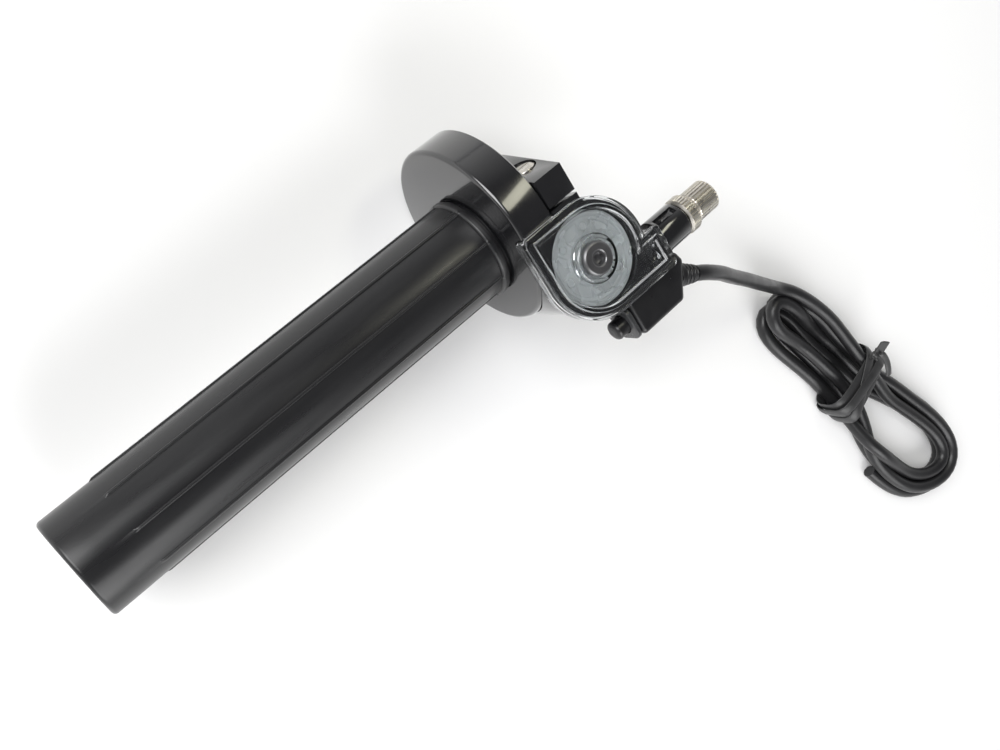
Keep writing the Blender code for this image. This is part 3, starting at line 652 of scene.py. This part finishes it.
def cylinder(name, axis, base, radius, start, end, material, count):
    """A plain cylinder from one distance to another along an axis, used to cut with."""
    profile = [(start, 0), (start, radius), (end, radius), (end, 0)]
    return turned(name, profile, axis, base, material, count, 0)


def make_drum_shell():
    """Turned cup: flat face, rounded front edge, plain rim, chamfered rear lip, offset hole."""
    depth = SHELL_X1 - SHELL_X0
    edge, wall, middle_r = 1.1, 1.5, 9.0
    profile = [(0.0, middle_r), (0.0, SHELL_R - edge)]
    a = np.linspace(0, np.pi / 2, 10)[1:]
    profile += list(zip(edge - edge * np.cos(a), SHELL_R - edge + edge * np.sin(a)))
    profile += [(depth - 0.4, SHELL_R), (depth, SHELL_R - 0.4), (depth, SHELL_IN_R),
                (wall, SHELL_IN_R), (wall, middle_r)]
    grid = turned_grid(profile, X, (SHELL_X0, SHELL_Y, 0), 256)
    shell = surface("drum_shell_fine", grid, GLOSS_BLACK, wrap_rows=True, sharp=38)
    carve(shell, cylinder("tube_hole", X, (SHELL_X0, 0, 0), SHELL_BORE_R, -2.0, 3.0,
                          GLOSS_BLACK, 192))
    carve(shell, cylinder("chamber_cutter", Z, ROLLER_AXIS, CHAMBER_R, 18.3, 32.0,
                          GLOSS_BLACK, 128))
    dress(shell, "housing", "gloss_black", "drum_shell")


# --- copies of CAD nodes with eased edges ---

EASED_DEG = 32
SLIT_TILT = 58.0
SLIT_HALF_WIDTH = 1.2


def eased_copy(node, material, width, segments=2):
    """A merged copy of a CAD node with flat areas dissolved and its edges bevelled."""
    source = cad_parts[node]
    bm = bmesh.new()
    bm.from_mesh(source.data)
    bmesh.ops.remove_doubles(bm, verts=bm.verts, dist=1e-6)
    bmesh.ops.dissolve_limit(bm, angle_limit=math.radians(1.0), verts=bm.verts, edges=bm.edges)
    mesh = bpy.data.meshes.new(node + "_fine")
    bm.to_mesh(mesh)
    bm.free()
    mesh.materials.clear()
    mesh.materials.append(material)
    obj = bpy.data.objects.new(node + "_fine", mesh)
    bpy.context.collection.objects.link(obj)
    bevel = obj.modifiers.new("eased_edges", "BEVEL")
    bevel.width = width * MM
    bevel.segments = segments
    bevel.limit_method = "ANGLE"
    bevel.angle_limit = math.radians(EASED_DEG)
    mesh.shade_smooth()
    mesh.set_sharp_from_angle(angle=math.radians(EASED_DEG))
    return obj


def make_housing():
    """The housing with eased edges, a cable pocket under the cover and a slit along the boss."""
    housing = eased_copy("roller_housing", GLOSS_BLACK, 0.5, 3)
    line_y, line_z = ADJUSTER[1], ADJUSTER[2]
    carve(housing, box_solid((146.8, line_y - 3.4, 24.6), (151.0, line_y + 2.0, 30.0)))
    slit = box_solid((154.8, line_y - SLIT_HALF_WIDTH, line_z + 4.2),
                     (161.6, line_y + SLIT_HALF_WIDTH, line_z + 9))
    turn_about(slit, (line_y, line_z), -SLIT_TILT)
    carve(housing, slit)
    dress(housing, "housing", "gloss_black", "roller_housing")


def box_solid(low, high):
    """A plain box between two corners, used to cut with."""
    (x0, y0, z0), (x1, y1, z1) = low, high
    ring = [(x0, y0), (x1, y0), (x1, y1), (x0, y1)]
    centre = (0.5 * (x0 + x1), 0.5 * (y0 + y1))
    rows = [[(*centre, z0)] * 4, [(x, y, z0) for x, y in ring], [(x, y, z1) for x, y in ring],
            [(*centre, z1)] * 4]
    return surface("cutting_box", rows, GLOSS_BLACK)


def turn_about(obj, centre_yz, degrees):
    """Turn a solid's points about a line along X."""
    count = len(obj.data.vertices)
    points = np.empty(count * 3)
    obj.data.vertices.foreach_get("co", points)
    points = points.reshape(-1, 3)
    middle = (np.asarray(centre_yz) + BAR[1:]) * MM
    a = math.radians(degrees)
    y, z = points[:, 1] - middle[0], points[:, 2] - middle[1]
    points[:, 1] = middle[0] + y * math.cos(a) - z * math.sin(a)
    points[:, 2] = middle[1] + y * math.sin(a) + z * math.cos(a)
    obj.data.vertices.foreach_set("co", points.ravel())


# --- clear cover ---

COVER_R = 15.0
LUG_HALF = 5.2
CORNER_R = 1.6
PIP_PLACES = ((144.4, -19.6), (138.8, -19.7))


def arc_xy(centre, radius, start, end, steps):
    """Points on an arc between two angles in degrees."""
    a = np.radians(np.linspace(start, end, steps))
    return np.stack([centre[0] + radius * np.cos(a), centre[1] + radius * np.sin(a)], axis=1)


def cover_outline(inset):
    """Plan of the cover at an inset: roller circle, cable lug towards +X, one square corner.

    Every corner is an arc, so outlines at different insets match point for point.
    """
    cx, cy = ROLLER[0], ROLLER[1]
    radius = COVER_R - inset
    end_x = COVER_HIGH[0] - inset
    top = ADJUSTER[1] + LUG_HALF - inset
    meet = math.degrees(math.asin((top - cy) / radius))
    corner = max(CORNER_R - inset, 0.25)
    reach = np.linspace(0, 1, 6)[1:-1, None]
    foot = np.array([cx + radius * math.cos(math.radians(meet)), top])
    parts = [arc_xy((cx - radius + corner, cy + radius - corner), corner, 180, 90, 8),
             arc_xy((cx, cy), radius, 90, meet, 44),
             foot + reach * (np.array([end_x - corner, top]) - foot),
             arc_xy((end_x - corner, top - corner), corner, 90, 0, 8),
             arc_xy((end_x - corner, cy - radius + corner), corner, 0, -90, 8),
             arc_xy((cx, cy), radius, 270, 180, 36)]
    return np.vstack(parts)


def plate_rows(profile):
    """Rings of the cover's outline at each (inset, height) of a profile."""
    rings = [cover_outline(inset) for inset, _ in profile]
    count = len(rings[0])
    return np.stack([np.column_stack([ring, np.full(count, z)])
                     for ring, (_, z) in zip(rings, profile)])


def joined(name, grids, levels, material):
    """One closed mesh from several grids, with flat webs filled between open rings at levels."""
    bm = bmesh.new()
    for grid in grids:
        piece = surface("part", grid, material)
        bm.from_mesh(piece.data)
        bpy.data.objects.remove(piece, do_unlink=True)
    bmesh.ops.remove_doubles(bm, verts=bm.verts, dist=2e-6)
    for level in levels:
        height = (level + BAR[2]) * MM
        rim = [e for e in bm.edges if e.is_boundary
               and all(abs(v.co.z - height) < 1e-5 for v in e.verts)]
        bmesh.ops.triangle_fill(bm, edges=rim, use_beauty=True)
    mesh = bpy.data.meshes.new(name)
    bm.to_mesh(mesh)
    bm.free()
    return finish_mesh(name, mesh, material)


def make_clear_cover():
    """Skirt, top edge, raised ridge and window from one (inset, height) profile; then the cup."""
    base, under, top = COVER_LOW[2], 25.7, 27.0
    crest = COVER_HIGH[2]
    outside = [(0.7, under), (0.7, base + 0.1), (0.6, base), (0.15, base), (0.0, base + 0.15),
               (0.0, top - 0.4), (0.12, top - 0.12), (0.4, top), (1.7, top), (1.85, top + 0.1),
               (1.95, crest - 0.15), (2.1, crest), (2.8, crest), (2.95, crest - 0.15),
               (3.05, top - 0.1), (3.2, top - 0.25), (3.6, top - 0.3)]
    cup = [(under, 6.25), (24.45, 6.05), (24.3, 5.9), (24.3, 2.85), (24.4, 2.7), (25.15, 2.7),
           (25.15, 4.7), (25.3, 4.75), (top - 0.2, 4.8), (top + 0.15, 5.0), (top + 0.25, 5.3),
           (top + 0.15, 5.6), (top - 0.3, 5.8)]
    grids = [plate_rows(outside), turned_grid(cup, Z, ROLLER_AXIS, 96)]
    cover = joined("clear_cover_fine", grids, (under, top - 0.3), CLEAR)
    carve(cover, box_solid((149.5, -40, base - 2), (160, 10, under)))
    carve(cover, box_solid((130.0, -3, base - 2), (139.6, 3, under)))
    carve(cover, cylinder("drum_cutter", X, (120.0, SHELL_Y, 0), SHELL_R + 0.3, 0, 11.2,
                          CLEAR, 192))
    section = [(25.85, 1.15), (25.3, 1.15), (25.3, 1.5), (25.85, 1.5)]
    for x, y in PIP_PLACES:
        mark = turned_grid(section, Z, (x, y, 0), 48)
        pip = surface("cover_pip", mark, CLEAR, wrap_rows=True)
        carve(cover, pip, "UNION")
    dress(cover, "housing", "clear", "clear_cover")


# --- roller and its screw ---

ROLLER_SPOKES = 6
SPOKE_DEG = 11.0
RING_R, RING_AT = 1.05, 8.2
HUB_R, RIM_R = 3.8, 12.0


def make_roller():
    """Top face as a height over radius and angle: rim, recess, windows between spokes, and a
    small raised ring on each spoke; sides, groove and underside follow as a turned profile."""
    count = 480
    angle = np.linspace(0, 2 * np.pi, count, endpoint=False)
    r = np.concatenate([np.linspace(HUB_R, 5.4, 5), np.linspace(5.5, 6.4, 9),
                        np.linspace(6.5, 9.9, 30), np.linspace(10.0, 11.1, 10),
                        np.linspace(11.2, 11.8, 4)])[:, None]
    spokes = (np.degrees(angle) - SPOKE_DEG) * ROLLER_SPOKES / 360
    from_spoke = np.abs(spokes % 1 - 0.5)
    across = (0.5 - from_spoke)[None, :] * 2 * np.pi / ROLLER_SPOKES * r
    recess = smoothstep((r - 5.7) / 0.2) * smoothstep((10.6 - r) / 0.2)
    window = (smoothstep((r - 6.6) / 0.25) * smoothstep((9.7 - r) / 0.25)
              * smoothstep((across - 1.7) / 0.3))
    spoke_angle = np.radians(SPOKE_DEG + 360 / ROLLER_SPOKES * np.round(spokes))
    from_ring = np.hypot(r * np.cos(angle) - RING_AT * np.cos(spoke_angle),
                         r * np.sin(angle) - RING_AT * np.sin(spoke_angle))
    ring = smoothstep(1 - np.abs(from_ring - RING_R) / 0.28)
    z = ROLLER_Z1 - 0.35 - 0.45 * recess - 0.35 * window + 0.28 * ring
    z = z + 0.35 * smoothstep((r - 10.8) / 0.15) + 0.2 * smoothstep(1 - np.abs(r - 4.9) / 0.3)
    top = np.stack([r * np.cos(angle), r * np.sin(angle), z], axis=-1)
    mid = 0.5 * (ROLLER_Z0 + ROLLER_Z1)
    side = np.array([(ROLLER_Z1 - 0.12, 11.95), (ROLLER_Z1 - 0.25, RIM_R),
                     (ROLLER_Z1 - 0.8, RIM_R), (ROLLER_Z1 - 1.0, 11.8), (mid + 0.6, 7.9),
                     (mid + 0.25, 7.62), (mid - 0.25, 7.62), (mid - 0.6, 7.9),
                     (ROLLER_Z0 + 1.0, 11.8), (ROLLER_Z0 + 0.8, RIM_R), (ROLLER_Z0 + 0.2, RIM_R),
                     (ROLLER_Z0, 11.8), (ROLLER_Z0, HUB_R)])
    rest = np.stack([side[:, 1:] * np.cos(angle), side[:, 1:] * np.sin(angle),
                     np.repeat(side[:, :1], count, axis=1)], axis=-1)
    grid = np.vstack([top, rest]) + ROLLER_AXIS
    roller = surface("roller_fine", grid, MILKY, wrap_rows=True, sharp=30)
    dress(roller, "roller", "milky", "roller")


def hexagon_cutter(centre, radius, z0, z1):
    """A six-sided prism with a pointed lower end, used to cut the socket."""
    a = np.radians(np.arange(6) * 60 + 12)
    ring = np.stack([centre[0] + radius * np.cos(a), centre[1] + radius * np.sin(a)], axis=1)
    middle = np.tile(centre[:2], (6, 1))
    rows = [np.column_stack([points, np.full(6, z)])
            for points, z in ((middle, z0 - 0.5), (ring, z0), (ring, z1), (middle, z1))]
    return surface("hexagon", np.stack(rows), OXIDE)


def make_roller_screw():
    """Socket screw: shank, cylinder head with a chamfer, dished face, six-sided socket."""
    low, high = span("roller_screw")
    profile = [(low[2], 0), (low[2], 1.9), (low[2] + 0.6, 2.4), (25.45, 2.4), (25.45, 4.3),
               (high[2] - 0.55, 4.3), (high[2] - 0.12, 3.95), (high[2], 3.7), (high[2], 2.15),
               (high[2] - 0.25, 1.95), (high[2] - 0.25, 0)]
    head = turned("roller_screw_fine", profile, Z, ROLLER_AXIS, OXIDE, 128, 0.1)
    carve(head, hexagon_cutter(ROLLER, 1.55, 25.9, 28.5))
    dress(head, "housing", "black_oxide", "roller_screw")


# --- adjuster ---

THREAD_R, HEAD_R, NUT_R = 2.9, 4.3, 5.2
HEAD_TEETH, NUT_TEETH = 28, 36
POINTS_PER_TOOTH = 12


def knurled(name, rows, teeth, depth):
    """Turn (x, radius, flag) rows; flagged rows get flat crests with smooth troughs between."""
    rows = np.array(rows)

    def shape(radius, angle):
        wave = np.abs(np.mod(teeth * angle / (2 * np.pi), 1) - 0.5) * 2
        return radius - depth * rows[:, 2:] * smoothstep(1 - wave / 0.55)

    line = (0, ADJUSTER[1], ADJUSTER[2])
    grid = turned_grid(rows[:, :2], X, line, teeth * POINTS_PER_TOOTH, shape)
    return surface(name, grid, NICKEL, wrap_rows=True, sharp=28)


def make_adjuster():
    """Knurled head with chamfered ends and a counterbore; knurled lock ring beside it."""
    low, high = span("adjuster_screw")
    nut_low, nut_high = span("adjuster_lock_nut")
    start, end = nut_high[0] + 0.3, high[0]
    rows = [(low[0], 1.3, 0), (low[0], 2.6, 0), (low[0] + 0.5, THREAD_R, 0)]
    thread = np.linspace(low[0] + 0.6, start - 0.1, 96)
    rows += [(x, THREAD_R - 0.18 * (i % 4 in (1, 2)), 0) for i, x in enumerate(thread)]
    rows += [(start, 3.5, 0), (start + 0.1, 3.7, 0), (start + 0.55, 4.25, 0),
             (start + 0.62, HEAD_R, 1)]
    rows += [(x, HEAD_R, 1) for x in np.linspace(start + 1.2, end - 1.2, 6)]
    rows += [(end - 0.62, HEAD_R, 1), (end - 0.55, 4.25, 0), (end - 0.1, 3.8, 0), (end, 3.6, 0),
             (end, 2.75, 0), (end - 0.15, 2.6, 0), (end - 3.8, 2.6, 0), (end - 3.8, 1.3, 0)]
    screw = knurled("adjuster_screw_fine", rows, HEAD_TEETH, 0.32)
    dress(screw, "adjuster", "nickel", "adjuster_screw")

    a, b = nut_low[0], nut_high[0]
    rows = [(a + 0.15, 3.2, 0), (a, 3.4, 0), (a, 4.5, 0), (a + 0.1, 4.65, 0), (a + 0.5, 5.13, 0),
            (a + 0.56, NUT_R, 1)]
    rows += [(x, NUT_R, 1) for x in np.linspace(a + 1.0, b - 1.0, 4)]
    rows += [(b - 0.56, NUT_R, 1), (b - 0.5, 5.13, 0), (b - 0.1, 4.65, 0), (b, 4.5, 0),
             (b, 3.4, 0), (b - 0.15, 3.2, 0)]
    nut = knurled("adjuster_lock_nut_fine", rows, NUT_TEETH, 0.3)
    dress(nut, "lock_nut", "nickel", "adjuster_lock_nut")


# --- kill switch ---

SWITCH_CORNERS = [(137.9, -28.9), (137.9, -41.0), (153.4, -41.0), (159.0, -32.2),
                  (158.0, -28.9)]
SWITCH_Z0 = 12.4
EAR_X0, EAR_X1, EAR_TOP = 141.5, 150.5, 13.6


def rounded_outline(corners, radius, inset, steps=7):
    """Offset a polygon inwards and turn each corner into an arc, whichever way it runs."""
    pts = np.asarray(corners, float)
    before, after = np.roll(pts, 1, axis=0), np.roll(pts, -1, axis=0)
    area = np.sum(pts[:, 0] * after[:, 1] - after[:, 0] * pts[:, 1])
    turn = np.sign(area)
    into = (pts - before) / np.linalg.norm(pts - before, axis=1)[:, None]
    away = (after - pts) / np.linalg.norm(after - pts, axis=1)[:, None]
    side_in = turn * np.stack([-into[:, 1], into[:, 0]], axis=1)
    side_out = turn * np.stack([-away[:, 1], away[:, 0]], axis=1)
    bisector = side_in + side_out
    bisector /= np.sum(bisector * side_in, axis=1)[:, None]
    centre = pts + bisector * radius
    start = np.arctan2(-side_in[:, 1], -side_in[:, 0])
    sweep = np.mod(turn * (np.arctan2(-side_out[:, 1], -side_out[:, 0]) - start), 2 * np.pi)
    t = np.linspace(0, 1, steps)
    angle = start[:, None] + turn * sweep[:, None] * t
    keep = max(radius - inset, 0.05)
    ring = centre[:, None] + keep * np.stack([np.cos(angle), np.sin(angle)], axis=-1)
    return ring.reshape(-1, 2)


def pillow(low, high, edge, steps=7):
    """(inset, height) profile of a slab with quarter-round edges."""
    a = np.linspace(0, np.pi / 2, steps)
    down = [(edge - edge * math.sin(v), low + edge - edge * math.cos(v)) for v in a]
    up = [(edge - edge * math.cos(v), high - edge + edge * math.sin(v)) for v in a]
    return down + up


def slab(name, corners, radius, low, high, edge, material, axis="Z"):
    """A closed slab with rounded plan corners and edges, flat-faced, standing along an axis."""
    rings = []
    for inset, height in pillow(low, high, edge):
        ring = rounded_outline(corners, radius, inset)
        rings.append(np.column_stack([ring, np.full(len(ring), height)]))
    first, last = rings[0], rings[-1]
    middle = 0.5 * (first.max(axis=0) + first.min(axis=0))
    for share in (0.6, 0.0):
        rings.insert(0, middle + (first - middle) * (share, share, 1))
        rings.append(np.column_stack([(middle + (last - middle) * share)[:, :2], last[:, 2]]))
    grid = np.stack(rings)
    if axis == "X":
        grid = grid[..., [2, 0, 1]]
    return surface(name, grid, material, sharp=50)


def make_kill_switch():
    """Case with a screw ear, end cap and button."""
    low, high = span("switch_body")
    case = slab("switch_body_fine", SWITCH_CORNERS, 1.6, SWITCH_Z0, high[2], 1.4, SWITCH_BLACK)
    corners = [(EAR_X0, low[2]), (EAR_X1, low[2]), (EAR_X1, EAR_TOP), (EAR_X0, EAR_TOP)]
    ear = slab("ear", corners, 1.2, -31.2, -28.9, 0.3, SWITCH_BLACK)
    swap_axes(ear, (0, 2, 1))
    carve(case, ear, "UNION")
    axis = (0, BUTTON[1], BUTTON[2])
    for cut in (cylinder("bore", X, axis, 3.5, 136.0, 152.0, SWITCH_BLACK, 64),
                cylinder("ear_hole", Y, (146.0, 0, 8.0), 1.7, -33.0, -27.0, SWITCH_BLACK, 48),
                cylinder("socket", RELIEF_DIR, RELIEF_ROOT, 2.2, -2.3, 5.7, SWITCH_BLACK, 48)):
        carve(case, cut)
    dress(case, "housing", "satin_black", "switch_body")

    cap_low, cap_high = span("switch_cap")
    corners = [(cap_low[1], cap_low[2]), (cap_high[1], cap_low[2]), (cap_high[1], cap_high[2]),
               (cap_low[1], cap_high[2])]
    cap = slab("switch_cap_fine", corners, 2.2, cap_low[0], cap_high[0], 0.35, SMOKE, "X")
    carve(cap, cylinder("cap_hole", X, axis, 2.85, 135.0, 139.0, SMOKE, 64))
    dress(cap, "housing", "smoke_grey", "switch_cap")

    x0 = span("kill_button")[0][0]
    profile = [(0, 0), (0.0, 0.9), (0.12, 1.7), (0.5, 2.35), (1.0, 2.6), (5.8, 2.6), (5.8, 3.2),
               (6.7, 3.2), (6.7, 1.1), (11.6, 1.1), (11.6, 0)]
    button = turned("kill_button_fine", profile, X, (x0, *axis[1:]), SWITCH_BLACK, 96, 0.12)
    dress(button, "button", "satin_black", "kill_button")


def swap_axes(obj, order):
    """Exchange the bar-frame axes of a solid, then turn its faces outwards again."""
    count = len(obj.data.vertices)
    points = np.empty(count * 3)
    obj.data.vertices.foreach_get("co", points)
    points = points.reshape(-1, 3) / MM - BAR
    points = (points[:, order] + BAR) * MM
    obj.data.vertices.foreach_set("co", points.ravel())
    obj.data.flip_normals()


def make_strain_relief():
    """Boot turned about the lead's exit: plug, collar, then raised rings that get smaller."""
    profile = [(-2.0, 0.0), (-2.0, 1.9), (0.3, 1.9), (0.3, 2.9), (0.5, 3.2), (1.7, 3.25),
               (1.9, 3.0)]
    for ring in range(3):
        start = 2.0 + 1.35 * ring
        outer = 3.05 - 0.22 * ring
        profile += [(start, outer - 0.45), (start + 0.2, outer - 0.1), (start + 0.4, outer),
                    (start + 0.75, outer), (start + 0.95, outer - 0.1), (start + 1.1, outer - 0.45)]
    profile += [(RELIEF_LENGTH, 2.45), (RELIEF_LENGTH, 0.0)]
    boot = turned("strain_relief_fine", profile, RELIEF_DIR, RELIEF_ROOT, PVC, 96, 0.12)
    return dress(boot, "housing", "black_pvc", "strain_relief")


# --- twist tie ---

def squared(wave, power):
    """A sine or cosine with flatter crests, which squares off a circle."""
    return np.sign(wave) * np.abs(wave) ** power


def tie_strip(name, path, across, width, thick, closed=False, parts=10):
    """Sweep a flat section along a path; across is its width direction, at each point or all."""
    across = np.broadcast_to(across, path.shape)
    if closed:
        tangent = np.roll(path, -1, axis=0) - np.roll(path, 1, axis=0)
    else:
        tangent = np.gradient(path, axis=0)
    tangent /= np.linalg.norm(tangent, axis=1)[:, None]
    across = across - np.sum(across * tangent, axis=1)[:, None] * tangent
    across /= np.linalg.norm(across, axis=1)[:, None]
    normal = np.cross(tangent, across)
    a = np.linspace(0, 2 * np.pi, 2 * parts, endpoint=False)
    u = squared(np.cos(a), 0.5) * 0.5 * width
    v = squared(np.sin(a), 0.8) * 0.5 * thick
    v = v + 0.18 * thick * np.cos(2 * np.pi * u / width)
    grid = path[:, None] + u[None, :, None] * across[:, None] + v[None, :, None] * normal[:, None]
    if not closed:
        grid = np.concatenate([path[:1, None].repeat(len(a), 1), grid,
                               path[-1:, None].repeat(len(a), 1)])
    piece = surface("tie_" + name, grid, TIE_PLASTIC, wrap_rows=closed, sharp=60)
    return dress(piece, "housing", "black_pvc")


WAIST_HALF_LENGTH = 5.5
# Each turn's shift along the hank, its lean in degrees, how far it stands out, and its width.
TIE_TURNS = ((-2.2, 7.0, 0.0, 4.6), (2.3, 4.0, 0.15, 4.6), (0.2, -15.0, 0.75, 3.6),
             (0.6, 12.0, 1.2, 3.6))
# The tail's knots: along the hank, across it and up, from where it leaves the twist.
TAIL_KNOTS = ((0, 0, 0), (1.8, 0.45, 0.8), (5.9, 0.2, -0.5), (9.3, -0.8, -1.8),
              (11.7, -1.8, -3.0))


def waist_size(path):
    """(lowest side, highest side, top) of the strands that cross the waist, in the tie's axes."""
    from_tie = path[:, :2] - TIE_CENTRE
    here = np.abs(from_tie @ TIE_AXIS) < WAIST_HALF_LENGTH
    across = from_tie[here] @ TIE_SIDE
    margin = 0.5 * CORD_D
    return across.min() - margin, across.max() + margin, path[here, 2].max() + margin


def make_twist_tie(path):
    """Flat turns round the waist, leaning different ways, then the twist, stub and tail."""
    along, across = np.append(TIE_AXIS, 0), np.append(TIE_SIDE, 0)
    up = np.array([0, 0, 1.0])
    low, high, top = waist_size(path)
    half, height = 0.5 * (high - low) + 0.5, top - FLOOR_Z + 0.35
    base = np.array([TIE_CENTRE[0], TIE_CENTRE[1], FLOOR_Z]) + 0.5 * (high + low) * across
    a = np.linspace(0, 2 * np.pi, 120, endpoint=False)
    wide, tall = squared(np.cos(a), 0.5), squared(np.sin(a), 0.6)
    pieces = []
    for number, (shift, lean, swell, width) in enumerate(TIE_TURNS, 1):
        y = wide * (half + swell)
        z = np.maximum(0.5 * height + tall * (0.5 * height + swell - 0.2), 0.35)
        run = shift + math.tan(math.radians(lean)) * y + 0.2 * np.sin(3 * a + shift)
        turn = base + run[:, None] * along + y[:, None] * across + z[:, None] * up
        pieces.append(tie_strip("turn_%d" % number, turn, along, width, 0.6, closed=True))
    root = base - 1.8 * along + (half - 3.0) * across + (height + 0.9) * up
    t = np.linspace(0, 1, 60)[:, None]
    climb = root + t * (2.4 * across - 1.2 * along + 2.4 * up)
    spin = 2.5 * np.pi * t
    direction = np.cos(spin) * along + np.sin(spin) * up
    pieces.append(tie_strip("twist", climb, direction, 3.0, 1.2))
    rise = 2.1 * across - 2.35 * along + 3.0 * up
    stub = climb[-1] - 0.15 * rise + t * 1.15 * rise
    pieces.append(tie_strip("stub", stub, along + 0.3 * across, 3.4, 0.7))
    knots = np.array(TAIL_KNOTS) @ np.stack([along, across, up])
    tail = smooth_curve(climb[40] + knots, 16)
    pieces.append(tie_strip("tail", tail, across + 0.5 * up, 2.2, 0.5))
    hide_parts("twist_tie")
    return pieces


# --- small hardware ---

def make_small_hardware():
    """The pinch bolt and the screws, with eased edges."""
    dress(eased_copy("clamp_bolt", NICKEL, 0.12), "housing", "nickel", "clamp_bolt")
    for node in ("shell_screw_upper", "shell_screw_lower", "switch_screw"):
        dress(eased_copy(node, STEEL, 0.12), "housing", "steel", node)


def finish_inner_nodes():
    """Give the CAD nodes that show as they are their finishes."""
    looks = {"roller_bush": STEEL, "cable_seat": SMOKE, "contact_disc": BRASS,
             "contact_post_upper": BRASS, "contact_post_lower": BRASS}
    for node, material in looks.items():
        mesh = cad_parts[node].data
        mesh.materials.clear()
        mesh.materials.append(material)


def make_button_spring():
    """A copy of the CAD coil as built, in steel."""
    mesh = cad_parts["button_spring"].data.copy()
    mesh.materials.clear()
    mesh.materials.append(STEEL)
    mesh.shade_smooth()
    spring = bpy.data.objects.new("button_spring_fine", mesh)
    bpy.context.collection.objects.link(spring)
    dress(spring, "housing", "steel", "button_spring")
    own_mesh(spring)


make_camera()
make_studio()
lead_path = cord_path()
make_cord(lead_path, [make_strain_relief(), *make_twist_tie(lead_path)])
make_throttle_tube()
make_drum_shell()
make_housing()
make_clear_cover()
make_roller()
make_roller_screw()
make_adjuster()
make_kill_switch()
make_button_spring()
make_small_hardware()
finish_inner_nodes()
